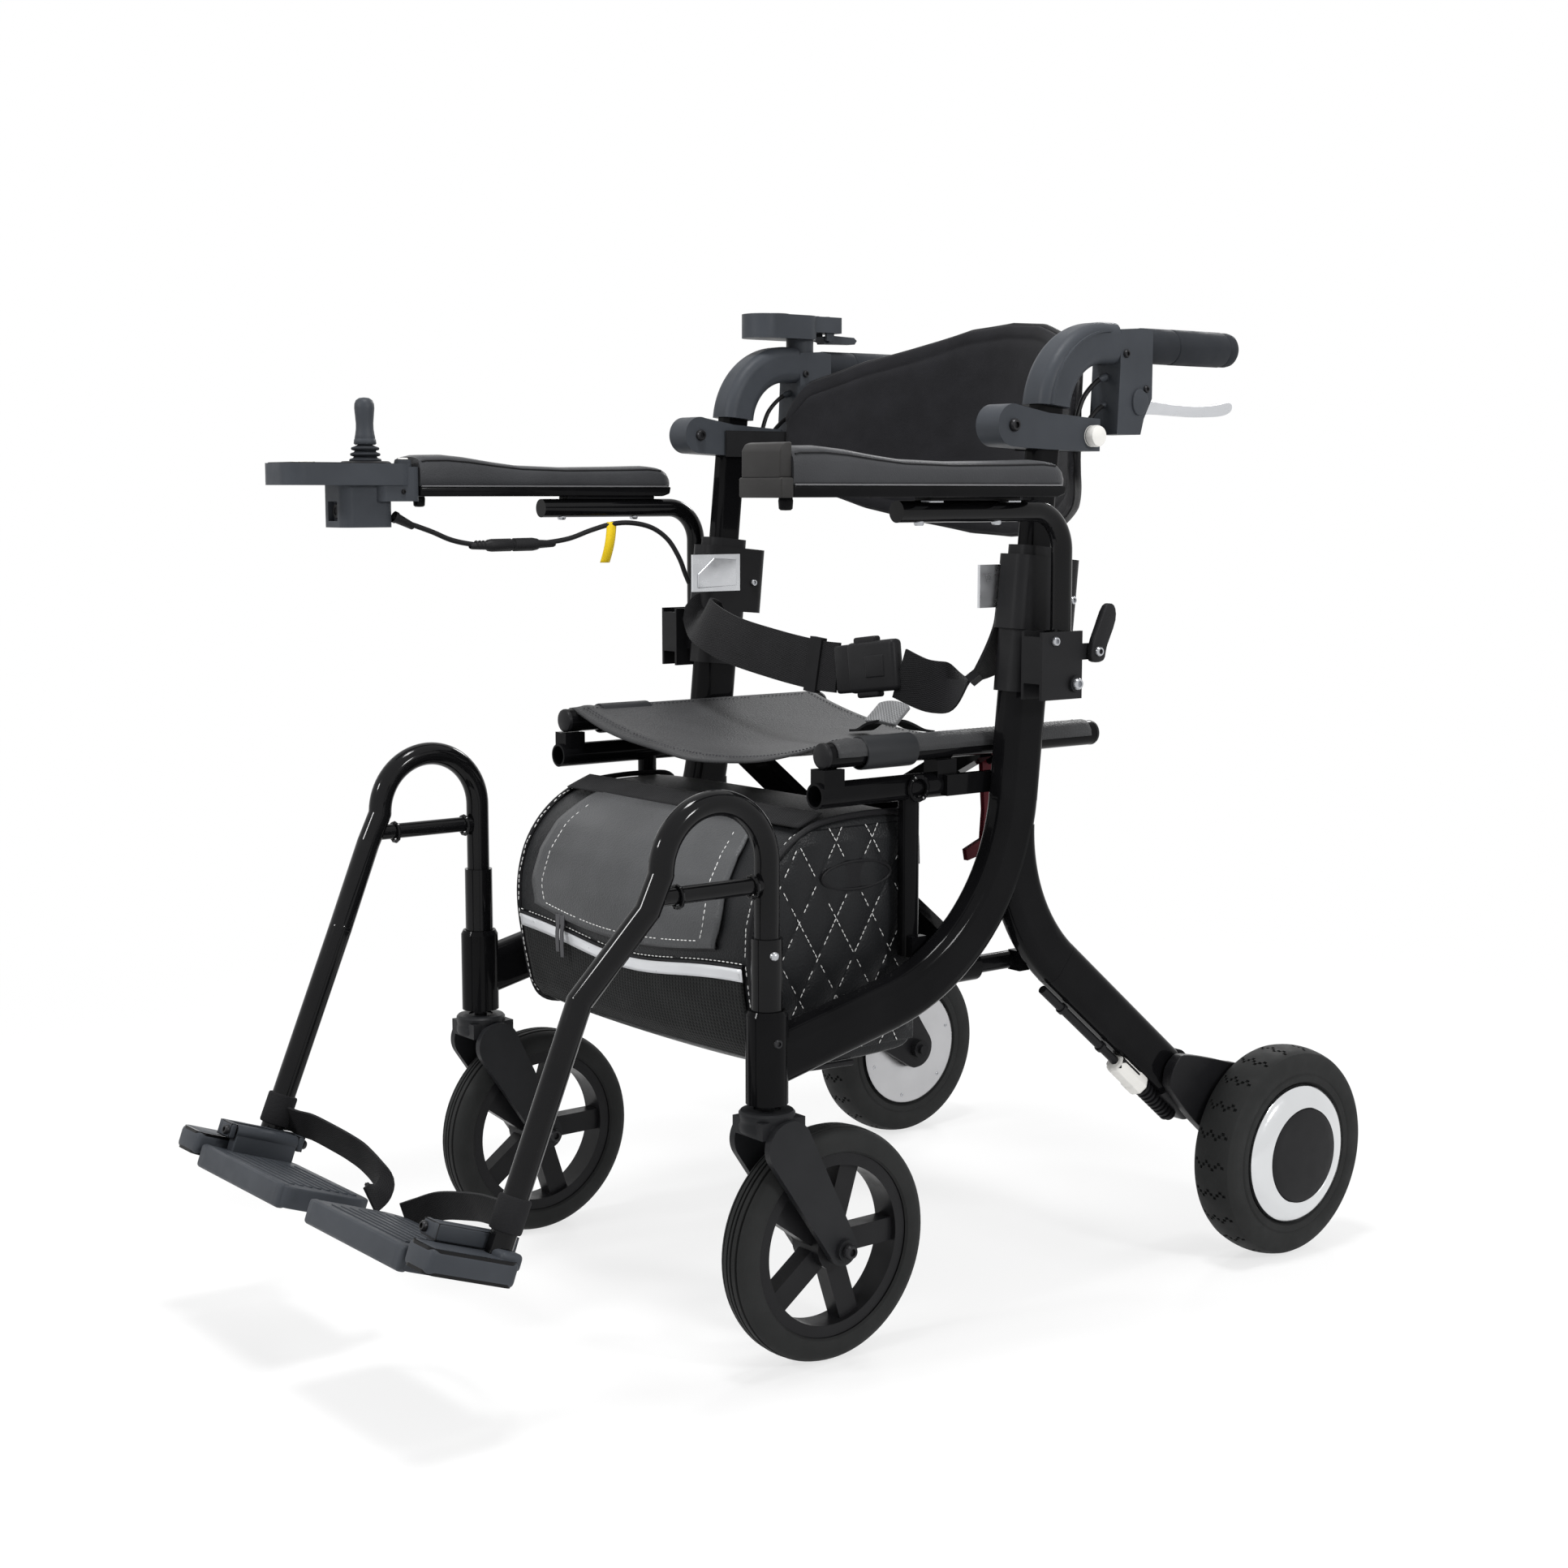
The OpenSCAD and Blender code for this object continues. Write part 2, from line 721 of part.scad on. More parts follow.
module seat_tube_left() {
  color(c_frame) placed() seat_tube();
}

module seat_tube_right() {
  color(c_frame) placed() right_hand() seat_tube();
}

// Seat sling: sagging sheet hooked over both tubes
module seat_sling() {
  t = 3;
  n = 24;
  top = [for (i = [0 : n]) let (x = -seat_x + 2 * seat_x * i / n)
    [x, seat_z + seat_r + t - seat_sag * (1 - pow(x / seat_x, 2))]];
  low = [for (i = [n : -1 : 0]) [top[i][0], top[i][1] - t]];
  color(c_cloth) placed() difference() {
    translate([0, 140, 0]) rotate([90, 0, 0]) linear_extrude(298) difference() {
      union() {
        polygon(concat(top, low));
        for (s = [-1, 1]) {
          translate([s * seat_x, seat_z]) circle(seat_r + t);
        }
      }
      for (s = [-1, 1]) {
        translate([s * seat_x, seat_z]) circle(seat_r);
        translate([s * seat_x, seat_z - 20]) square([40, 40], center = true);
      }
    }
    brace_room(brace_a_y, 1);
    brace_room(brace_b_y, -1);
  }
  color(c_silver) placed() fold_handle();
}

// Room for a brace arm under the sling
module brace_room(w_y, way) {
  translate([0, w_y, pivot_z]) rotate([0, way * arm_slope, 0]) cube([arm_len, brace_w + 2 * gap, brace_h + 2 * gap], center = true);
}

// Pull handle on the middle of the seat
module fold_handle() {
  translate([0, 72, seat_z - seat_sag + seat_r + 3 + 10]) difference() {
    cube([46, 30, 20], center = true);
    cube([30, 60, 8], center = true);
  }
}

// Fold hook, hung on a pin of the left seat rail
module fold_hook() {
  color(c_red) placed() translate([170, 46, 0]) difference() {
    rotate([90, 0, 90]) linear_extrude(5) polygon([[-12, 496], [8, 496], [10, 430], [0, 402], [-28, 396],
      [-30, 406], [-10, 414], [-8, 440]]);
    bar_x([2, -2, 485], 4 + gap, 30);
  }
}

// Legrest: insert, hoop, crossbar, knee and lower tube
module legrest() {
  translate([side_x, post_y, 258]) cylinder(r = insert_r, h = 365 - 258);
  translate([side_x, post_y, 365]) cylinder(r = hang_r, h = hoop_z - 365);
  turn(side_x, [post_y - hoop_r, hoop_z], hoop_r, 90, 270) circle(hang_r);
  strut([side_x, post_y - 2 * hoop_r, hoop_z], knee, hang_r);
  translate(knee) sphere(hang_r + 0.05);
  strut(knee, bend, hang_r);
  translate(bend) sphere(hang_r + 0.05);
  strut(bend, foot, hang_r);
  translate([side_x, post_y - 2 * hoop_r, hoop_z]) sphere(hang_r + 0.05);
  strut([side_x, post_y - 2 * hoop_r - 4, 409], [side_x, post_y, 409], 7);
}

module legrest_left() {
  color(c_frame) placed() {
    legrest();
    foot_bracket();
  }
}

module legrest_right() {
  color(c_frame) placed() right_hand() {
    legrest();
    foot_bracket();
  }
}

// Frame of a footplate at rest, tilted toes up
module at_plate() {
  translate(plate_hinge) rotate([-plate_tilt, 0, 0]) children();
}

// Bracket on the legrest with the hinge pin between two lugs
module foot_bracket() {
  at_plate() {
    translate([-9.5, 0, 18]) cube([7, 74, 13], center = true);
    translate([6, -16, 0]) block([foot_block_w, foot_block_d, 20], 8);
    for (y = [-34, 34]) {
      translate([-18.5, y, 18]) cube([19, 6, 13], center = true);
    }
    translate([-24, 0, 18]) rotate([90, 0, 0]) cylinder(r = 4, h = 68, center = true);
  }
}

// Footplate with its hinge barrel on top
module plate_form() {
  difference() {
    translate([-16 - plate_l / 2, plate_y, plate_z]) block([plate_l, plate_d, 20], 20);
    translate([-16 - plate_l, 0, plate_z - 10]) rotate([0, 45, 0]) cube([17, 3 * plate_d, 17], center = true);
  }
}

module footplate() {
  at_plate() {
    difference() {
      union() {
        plate_form();
        translate([-24, 0, (18 + plate_z) / 2]) cube([12, 60, 18 - plate_z], center = true);
        translate([-24, 0, 18]) rotate([90, 0, 0]) cylinder(r = 6.5, h = 60, center = true);
      }
      translate([-24, 0, 18]) rotate([90, 0, 0]) cylinder(r = 4 + gap, h = 80, center = true);
      for (i = [0 : 6]) {
        translate([-60 - 15 * i, plate_y, plate_z + 10]) cube([3, plate_d - 30, 2], center = true);
      }
    }
  }
}

module footplate_left() {
  color(c_plastic) placed() footplate();
}

module footplate_right() {
  color(c_plastic) placed() right_hand() footplate();
}

// Heel strap behind the plate
module heel_strap() {
  pts = [[150, -455, 156], [120, -449, 153], [86, -447, 147], [52, -452, 140], [32, -466, 132], [28, -482, 128]];
  difference() {
    for (i = [0 : len(pts) - 2]) {
      band(pts[i], pts[i + 1], 26);
    }
    at_plate() plate_form();
  }
}

module heel_strap_left() {
  color(c_cloth) placed() heel_strap();
}

module heel_strap_right() {
  color(c_cloth) placed() right_hand() heel_strap();
}

// Telescopic upright
module upright_tube() {
  z0 = 480;
  difference() {
    run(side_x, [upright_y(z0), z0], up_a, (elbow_z - z0) / cos(lean)) rounded(upper_w, upper_d, 6);
    run(side_x, [upright_y(z0), z0], up_a, (elbow_z - z0) / cos(lean) - 12) rounded(upper_w - 4, upper_d - 4, 4);
  }
}

module upright_tube_left() {
  color(c_frame) placed() upright_tube();
}

module upright_tube_right() {
  color(c_frame) placed() right_hand() upright_tube();
}

// Elbow cover and the brake housing behind it
module handle_elbow() {
  turn(side_x, elbow_c, elbow_r, 180 + up_a, 180) rounded(36, 34, 10);
  translate([side_x, elbow_c[0] + 6, grip_z]) rotate([90, 0, 0]) linear_extrude(12, center = true) rounded(34, 36, 10);
  difference() {
    translate([side_x, 0, 0]) rotate([90, 0, 90]) linear_extrude(34, center = true) polygon([[elbow_c[0] + 12, grip_z + 12],
      [162, grip_z + 14], [174, grip_z + 12], [174, 804], [164, 786], [160, 772], [130, 772],
      [elbow_c[0] + 12, 830]]);
    translate([side_x, 172, 797]) cube([13, 40, 26], center = true);
  }
  bar_x([side_x, 164, 797], 3, 30);
}

module handle_elbow_left() {
  color(c_plastic) placed() handle_elbow();
}

module handle_elbow_right() {
  color(c_plastic) placed() right_hand() handle_elbow();
}

// Grip behind the brake housing
module grip() {
  bar_y(side_x, 174, grip_end - 4, grip_z, grip_r);
  bar_y(side_x, grip_end - 4, grip_end, grip_z, grip_r - 3);
}

module grip_left() {
  color(c_rubber) placed() grip();
}

module grip_right() {
  color(c_rubber) placed() right_hand() grip();
}

// Brake lever
module brake_lever() {
  difference() {
    translate([side_x, 0, 0]) rotate([90, 0, 90]) linear_extrude(12, center = true) polygon([[157, 791], [171, 790],
      [200, 791], [290, 789], [294, 793], [292, 800], [200, 802], [172, 804], [158, 804]]);
    bar_x([side_x, 164, 797], 3 + gap, 40);
  }
}

module brake_lever_left() {
  color(c_silver) placed() brake_lever();
}

module brake_lever_right() {
  color(c_silver) placed() right_hand() brake_lever();
}

// Arm that holds the backrest, clamped round the upright, with its index knob
module back_arm() {
  difference() {
    union() {
      translate([side_x, 0, 0]) rotate([90, 0, 90]) linear_extrude(28, center = true) {
        translate([8, back_z + 3]) circle(18);
        polygon([[8, back_z + 21], [50, back_z + 14], [112, back_z + 10], [112, back_z - 18],
          [50, back_z - 17], [8, back_z - 15]]);
      }
    }
    run(side_x, [upright_y(700), 700], up_a, 120) rounded(upper_w, upper_d, 6);
  }
  bar_x([side_x + 18, 102, back_z - 5], 9, 8);
}

module back_arm_left() {
  color(c_plastic) placed() back_arm();
}

module back_arm_right() {
  color(c_plastic) placed() right_hand() back_arm();
}

// Backrest: curved padded band, tall in the middle, straps at its ends
module backrest_sling() {
  n = 20;
  half = 206.5;
  t = 6;
  deep = 120;
  mid = [for (i = [0 : n]) let (x = -half + 2 * half * i / n) [x, 112 + deep * (1 - pow(x / half, 2))]];
  back = [for (i = [n : -1 : 0]) [mid[i][0] * 1.0, mid[i][1] + t]];
  top = [[-210, 784], [-200, 812], [-190, 832], [-150, 851], [-100, 866], [-50, 880], [0, 884],
    [50, 880], [100, 866], [150, 851], [190, 832], [200, 812], [210, 784]];
  low = [[210, 757], [200, 735], [150, 708], [100, 693], [50, 683], [0, 680],
    [-50, 683], [-100, 693], [-150, 708], [-200, 735], [-210, 757]];
  color(c_cloth) placed() intersection() {
    translate([0, 0, 600]) linear_extrude(400) {
      polygon(concat(mid, back));
      for (s = [-1, 1]) {
        translate([s * (half + 1.5), 77]) square([4, 80], center = true);
      }
    }
    translate([0, 400, 0]) rotate([90, 0, 0]) linear_extrude(500) {
      polygon(concat(top, low));
      translate([0, 770]) square([424, 28], center = true);
    }
  }
}

// Helper's control pod on the right elbow
module control_pod() {
  color(c_plastic) placed() right_hand() {
    difference() {
      translate([side_x, 146, 856]) cylinder(r = 14, h = 30);
      handle_elbow();
    }
    translate([side_x, pod_y, 889]) block([44, 84, 24], 21);
    translate([side_x, thumb_y - 6, 893]) block([30, 40, 16], 4);
    bar_x([side_x, thumb_y, 879], 3, 22);
    for (s = [-1, 1]) {
      translate([side_x + s * 9.5, thumb_y, 882]) cube([3, 10, 10], center = true);
    }
  }
}

// Thumb lever of the pod
module thumb_lever() {
  color(c_silver) placed() right_hand() difference() {
    translate([side_x, 0, 0]) rotate([90, 0, 90]) linear_extrude(12, center = true) translate([thumb_y, 0])
      polygon([[-6, 881.5], [6, 883], [36, 882], [40, 879], [37, 875], [-4, 874]]);
    bar_x([side_x, thumb_y, 879], 3 + gap, 40);
  }
}

// Caster fork: stem, cap, two cheeks and the wheel bolt
module caster_fork() {
  inner = caster_w / 2 + 3;
  axle = [post_y + trail, wheel_r];
  translate([side_x, post_y, fork_top]) cylinder(r = stem_r, h = 20);
  translate([side_x, post_y, 230]) cylinder(r = 10.5, h = 15);
  translate([side_x, post_y, 206]) cylinder(r = 22, h = fork_top - 206);
  for (s = [-1, 1]) {
    difference() {
      translate([side_x + s * (inner + 3.5), 0, 0]) rotate([90, 0, 90]) linear_extrude(7, center = true) hull() {
        translate(axle) circle(14);
        translate([post_y + 4, 196]) circle(22);
      }
      bar_x([side_x, axle[0], axle[1]], axle_r, 100);
      translate([side_x, post_y, 206]) cylinder(r = 22, h = fork_top - 206);
    }
  }
  difference() {
    translate([side_x, post_y + 2, 211]) cube([2 * inner, 44, 14], center = true);
    bar_x([side_x, axle[0], axle[1]], wheel_r + 3, 100);
    translate([side_x, post_y, 206]) cylinder(r = 22, h = fork_top - 206);
  }
  bar_x([side_x, axle[0], axle[1]], axle_r, 2 * inner + 14);
  for (s = [-1, 1]) {
    bar_x([side_x + s * (inner + 9), axle[0], axle[1]], 9, 4);
  }
}

module caster_fork_left() {
  color(c_plastic) placed() caster_fork();
}

module caster_fork_right() {
  color(c_plastic) placed() right_hand() caster_fork();
}

// Five-spoke caster wheel
module caster_wheel() {
  translate([side_x, post_y + trail, wheel_r]) rotate([0, 90, 0]) difference() {
    union() {
      difference() {
        cylinder(r = rim_r, h = 26, center = true);
        cylinder(r = rim_r - 10, h = 40, center = true);
      }
      cylinder(r = 20, h = caster_w, center = true);
      for (i = [0 : 4]) {
        rotate([0, 0, 72 * i + 18]) translate([(rim_r + 8) / 2, 0, 0]) cube([rim_r - 22, 20, 16], center = true);
      }
    }
    cylinder(r = axle_r + gap, h = 60, center = true);
  }
}

module caster_wheel_left() {
  color(c_dark) placed() caster_wheel();
}

module caster_wheel_right() {
  color(c_dark) placed() right_hand() caster_wheel();
}

// Tyre section, rounded at the tread
module tyre(r_in, w) {
  rotate([0, 90, 0]) rotate_extrude($fn = 96) {
    translate([r_in + 3, 0]) square([6, w - 6], center = true);
    translate([(r_in + 5 + wheel_r - 9) / 2, 0]) square([wheel_r - 9 - r_in - 5, w], center = true);
    translate([wheel_r - 10, 0]) square([20, w - 18], center = true);
    for (j = [-1, 1]) {
      translate([wheel_r - 9, j * (w / 2 - 9)]) circle(9);
    }
  }
}

module caster_tyre_left() {
  color(c_rubber) placed() translate([side_x, post_y + trail, wheel_r]) tyre(rim_r, caster_w);
}

module caster_tyre_right() {
  color(c_rubber) placed() right_hand() translate([side_x, post_y + trail, wheel_r]) tyre(rim_r, caster_w);
}

// Hub motor: shell with inner cover, bored for the fixed axle
module hub_motor() {
  translate([rear_x, rear_y, wheel_r]) rotate([0, 90, 0]) difference() {
    union() {
      cylinder(r = hub_r, h = 40, center = true);
      translate([0, 0, 20]) cylinder(r1 = 52, r2 = 48, h = 8);
      translate([0, 0, 28]) cylinder(r = 34, h = 3);
      translate([0, 0, -23]) cylinder(r = 50, h = 3);
    }
    translate([0, 0, -30]) cylinder(r = axle_r + gap, h = 48);
    difference() {
      cylinder(r = hub_r - 5, h = 30, center = true);
      cylinder(r = 18, h = 40, center = true);
    }
  }
}

module hub_motor_left() {
  color(c_dark) placed() hub_motor();
}

module hub_motor_right() {
  color(c_dark) placed() right_hand() hub_motor();
}

module rear_tyre_left() {
  color(c_rubber) placed() translate([rear_x, rear_y, wheel_r]) tyre(hub_r, rear_w);
}

module rear_tyre_right() {
  color(c_rubber) placed() right_hand() translate([rear_x, rear_y, wheel_r]) tyre(hub_r, rear_w);
}

side_frame_left();
side_frame_right();
seat_rail_left();
seat_rail_right();
height_clamp_left();
height_clamp_right();
arm_bracket_left();
arm_bracket_right();
axle_bracket_left();
axle_bracket_right();
storage_bag();
battery_pack();
seat_belt();
cross_arm_a();
cross_arm_b();
seat_tube_left();
seat_tube_right();
seat_sling();
fold_hook();
legrest_left();
legrest_right();
footplate_left();
footplate_right();
heel_strap_left();
heel_strap_right();
upright_tube_left();
upright_tube_right();
handle_elbow_left();
handle_elbow_right();
grip_left();
grip_right();
back_arm_left();
back_arm_right();
backrest_sling();
control_pod();
brake_lever_left();
brake_lever_right();
thumb_lever();
arm_tube_left();
arm_tube_right();
arm_pad_left();
arm_pad_right();
joystick_pod();
joystick_gimbal();
joystick_stick();
joystick_lead();
arm_latch_left();
arm_latch_right();
height_button_left();
height_button_right();
caster_fork_left();
caster_fork_right();
caster_wheel_left();
caster_wheel_right();
caster_tyre_left();
caster_tyre_right();
hub_motor_left();
hub_motor_right();
rear_tyre_left();
rear_tyre_right();
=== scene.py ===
import math

import bmesh
import bpy
from mathutils import Matrix, Vector


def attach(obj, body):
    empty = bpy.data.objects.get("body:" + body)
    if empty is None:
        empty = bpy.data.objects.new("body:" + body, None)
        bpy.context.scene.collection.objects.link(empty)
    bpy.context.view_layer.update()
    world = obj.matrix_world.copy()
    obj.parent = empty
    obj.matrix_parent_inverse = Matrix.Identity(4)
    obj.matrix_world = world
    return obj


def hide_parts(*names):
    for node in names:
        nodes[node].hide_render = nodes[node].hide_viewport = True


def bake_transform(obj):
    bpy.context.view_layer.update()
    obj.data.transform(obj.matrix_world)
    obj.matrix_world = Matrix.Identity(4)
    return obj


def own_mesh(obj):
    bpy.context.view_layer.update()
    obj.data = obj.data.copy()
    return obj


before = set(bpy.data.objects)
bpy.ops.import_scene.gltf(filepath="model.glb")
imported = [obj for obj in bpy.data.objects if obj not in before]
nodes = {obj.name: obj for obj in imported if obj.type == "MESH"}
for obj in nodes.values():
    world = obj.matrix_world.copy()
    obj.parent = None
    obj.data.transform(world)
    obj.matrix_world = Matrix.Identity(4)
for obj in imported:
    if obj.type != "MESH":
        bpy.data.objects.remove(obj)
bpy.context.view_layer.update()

# Stage and camera: a pale seamless floor, soft boxes overhead and at both sides, and a view from
# standing height off the front left corner of the chair.
scene = bpy.context.scene
scene.view_settings.view_transform = "Standard"
FRONT_SHIFT = 66.5
SIDES = (("left", 1), ("right", -1))


def spot(x, y, z):
    """A point in millimetres, measured from the chair's middle line, as metres in the row frame."""
    return Vector((x, y + FRONT_SHIFT, z)) * 0.001


def wire(tree, kind, *links, **values):
    """A new shader node with the given input values, fed by (output, input name) pairs."""
    made = tree.nodes.new(kind)
    for key, value in values.items():
        made.inputs[key.replace("_", " ")].default_value = value
    for source, name in links:
        tree.links.new(source, made.inputs[name])
    return made


def sums(tree, operation, a, b=None):
    """A math node on two outputs or numbers; returns its output."""
    made = tree.nodes.new("ShaderNodeMath")
    made.operation = operation
    for place, value in enumerate((a, b)):
        if value is None:
            continue
        if isinstance(value, (int, float)):
            made.inputs[place].default_value = value
        else:
            tree.links.new(value, made.inputs[place])
    return made.outputs[0]


def camera_or_mirror_ray(tree):
    """1 for rays from the camera, off a mirror or through glass, else 0."""
    path = tree.nodes.new("ShaderNodeLightPath").outputs
    seen = sums(tree, "MAXIMUM", path["Is Camera Ray"], path["Is Glossy Ray"])
    return sums(tree, "MAXIMUM", seen, path["Is Transmission Ray"])


sky = bpy.data.worlds.new("studio")
scene.world = sky
sky.use_nodes = True
sky_tree = sky.node_tree
sky_light = sky_tree.nodes["Background"]
sky_light.inputs["Color"].default_value = (1, 1, 1, 1)
sky_strength = wire(sky_tree, "ShaderNodeMapRange", (camera_or_mirror_ray(sky_tree), "Value"), To_Min=0.55,
                    To_Max=1.0)
sky_tree.links.new(sky_strength.outputs[0], sky_light.inputs["Strength"])

floor_mesh = bpy.data.meshes.new("floor")
floor_form = bmesh.new()
bmesh.ops.create_grid(floor_form, x_segments=1, y_segments=1, size=9)
floor_form.to_mesh(floor_mesh)
floor_form.free()
floor = bpy.data.objects.new("floor", floor_mesh)
scene.collection.objects.link(floor)
floor_paint = bpy.data.materials.new("floor_paint")
floor_paint.use_nodes = True
floor_shader = floor_paint.node_tree.nodes["Principled BSDF"]
floor_shader.inputs["Base Color"].default_value = (0.93, 0.93, 0.93, 1)
floor_shader.inputs["Roughness"].default_value = 0.9
floor_shader.inputs["Specular IOR Level"].default_value = 0.1
floor_tree = floor_paint.node_tree
floor_place = floor_tree.nodes.new("ShaderNodeTexCoord").outputs["Object"]
floor_far = floor_tree.nodes.new("ShaderNodeVectorMath")
floor_far.operation = "LENGTH"
floor_tree.links.new(floor_place, floor_far.inputs[0])
floor_fade = wire(floor_tree, "ShaderNodeMapRange", (floor_far.outputs["Value"], "Value"), From_Min=0.5,
                  From_Max=1.9, To_Min=0.70)
floor_fade.interpolation_type = "SMOOTHSTEP"
floor_share = sums(floor_tree, "MULTIPLY", camera_or_mirror_ray(floor_tree), floor_fade.outputs[0])
floor_white = floor_tree.nodes.new("ShaderNodeEmission")
floor_mix = floor_tree.nodes.new("ShaderNodeMixShader")
floor_tree.links.new(floor_share, floor_mix.inputs["Fac"])
floor_tree.links.new(floor_shader.outputs[0], floor_mix.inputs[1])
floor_tree.links.new(floor_white.outputs[0], floor_mix.inputs[2])
floor_tree.links.new(floor_mix.outputs[0], floor_tree.nodes["Material Output"].inputs["Surface"])
floor_mesh.materials.append(floor_paint)


def soft_box(name, place, aim, width, power):
    """A square lamp at place that points at aim."""
    lamp = bpy.data.lights.new(name, "AREA")
    lamp.size = width
    lamp.energy = power
    holder = bpy.data.objects.new(name, lamp)
    holder.location = place
    holder.rotation_euler = (Vector(aim) - Vector(place)).to_track_quat("-Z", "Y").to_euler()
    scene.collection.objects.link(holder)


soft_box("overhead", (0.3, -0.3, 2.8), (0, 0, 0.4), 0.5, 40)
soft_box("front_fill", (-0.5, -2.8, 1.9), (0, 0, 0.5), 0.42, 34)
soft_box("left_fill", (3.0, 0.5, 1.7), (0, 0, 0.5), 0.42, 36)
soft_box("rear_edge", (-1.4, 2.6, 2.0), (0, 0, 0.6), 0.6, 22)

camera_data = bpy.data.cameras.new("photo_view")
camera_data.sensor_width = 36
camera_data.lens = 53.6
camera = bpy.data.objects.new("photo_view", camera_data)
camera.location = spot(1684.6, -1385.4, 721.2)
camera.rotation_euler = (spot(0, -52, 453) - camera.location).to_track_quat("-Z", "Y").to_euler()
scene.collection.objects.link(camera)
scene.camera = camera

# Side frames, seat rails, fold brace, legrests, uprights and armrest tubes: bent and welded
# aluminium tube under a deep black gloss lacquer, with slight orange peel and patchy gloss.
LACQUER = (0.0035, 0.0035, 0.004)
TUBE_NODES = ["side_frame_left", "side_frame_right", "seat_rail_left", "seat_rail_right", "cross_arm_a",
              "cross_arm_b", "seat_tube_left", "seat_tube_right", "upright_tube_left", "upright_tube_right"]
BENT_NODES = ["legrest_left", "legrest_right", "arm_tube_left", "arm_tube_right"]


def tinted(tree, factor, low, high):
    """A colour that goes from low to high with the factor."""
    made = tree.nodes.new("ShaderNodeMix")
    made.data_type = "RGBA"
    made.inputs[6].default_value = (*low, 1)
    made.inputs[7].default_value = (*high, 1)
    tree.links.new(factor, made.inputs[0])
    return made.outputs[2]


def blank_finish(name, roughness, metallic=0.0, **more):
    """A new material; returns it with its tree, its shader and its Object coordinates."""
    finish = bpy.data.materials.new(name)
    finish.use_nodes = True
    tree = finish.node_tree
    shader = tree.nodes["Principled BSDF"]
    shader.inputs["Roughness"].default_value = roughness
    shader.inputs["Metallic"].default_value = metallic
    shader.inputs["Specular IOR Level"].default_value = 0.12
    for key, value in more.items():
        shader.inputs[key.replace("_", " ")].default_value = value
    place = tree.nodes.new("ShaderNodeTexCoord").outputs["Object"]
    return finish, tree, shader, place


def raise_grain(tree, shader, height, depth, strength=1.0):
    """Bump of the given depth in metres."""
    bump = wire(tree, "ShaderNodeBump", (height, "Height"), Strength=strength, Distance=depth)
    tree.links.new(bump.outputs[0], shader.inputs["Normal"])


def even_finish(name, colour, roughness, metallic=0.0, spread=0.25, grain=1500.0, depth=0.00005,
                streak=None, **more):
    """Paint, plastic, rubber or metal: faint mottling, patchy gloss and a fine grain."""
    finish, tree, shader, place = blank_finish(name, roughness, metallic, **more)
    broad = wire(tree, "ShaderNodeTexNoise", (place, "Vector"), Scale=22.0, Detail=3.0)
    low = [c * (1 - spread) for c in colour]
    high = [min(1.0, c * (1 + spread) + 0.002) for c in colour]
    tree.links.new(tinted(tree, broad.outputs[0], low, high), shader.inputs["Base Color"])
    patch = wire(tree, "ShaderNodeTexNoise", (place, "Vector"), Scale=70.0, Detail=4.0)
    gloss = wire(tree, "ShaderNodeMapRange", (patch.outputs[0], "Value"), From_Min=0.3, From_Max=0.7,
                 To_Min=max(0.02, roughness - 0.06), To_Max=min(1.0, roughness + 0.08))
    tree.links.new(gloss.outputs[0], shader.inputs["Roughness"])
    if streak:
        combed = wire(tree, "ShaderNodeMapping", (place, "Vector"), Scale=streak)
        place = combed.outputs[0]
    fine = wire(tree, "ShaderNodeTexNoise", (place, "Vector"), Scale=grain, Detail=2.0)
    raise_grain(tree, shader, fine.outputs[0], depth)
    return finish


lacquer = even_finish("black_lacquer", LACQUER, 0.14, grain=260.0, depth=0.00003, Specular_IOR_Level=0.02,
                      Coat_Weight=0.09, Coat_Roughness=0.04)
bright_lacquer = even_finish("bright_lacquer", LACQUER, 0.12, grain=260.0, depth=0.00003,
                             Specular_IOR_Level=0.05, Coat_Weight=0.22, Coat_Roughness=0.05)


def paint_node(node, finish):
    """Puts one finish on a CAD node."""
    mesh = nodes[node].data
    mesh.materials.clear()
    mesh.materials.append(finish)


for node in TUBE_NODES:
    paint_node(node, lacquer)
for node in BENT_NODES:
    paint_node(node, bright_lacquer)

# Weld beads: raised rings where one tube is welded to another, under the same lacquer; one at each
# end of the legrest crossbars and one where each seat rail meets its side frame.
BEAD = 2.2
SIDE_X = 224


def piece(name, form, finish, body, smooth=40):
    """Turns a bmesh into an object with its finish that rides on a body."""
    bmesh.ops.recalc_face_normals(form, faces=form.faces)
    mesh = bpy.data.meshes.new(name)
    form.to_mesh(mesh)
    form.free()
    made = bpy.data.objects.new(name, mesh)
    scene.collection.objects.link(made)
    mesh.materials.append(finish)
    if smooth:
        mesh.shade_smooth()
        mesh.set_sharp_from_angle(angle=math.radians(smooth))
    if body:
        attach(made, body)
    return made


def facing(place, axis, across=None):
    """A matrix at place whose Z points along axis, and X roughly along across."""
    z = Vector(axis).normalized()
    x = Vector(across or (1, 0, 0))
    if abs(x.normalized().dot(z)) > 0.99:
        x = Vector((0, 1, 0)) if abs(z.y) < 0.9 else Vector((0, 0, 1))
    x = (x - z * x.dot(z)).normalized()
    turn = Matrix((x, z.cross(x), z)).transposed().to_4x4()
    return Matrix.Translation(place) @ turn


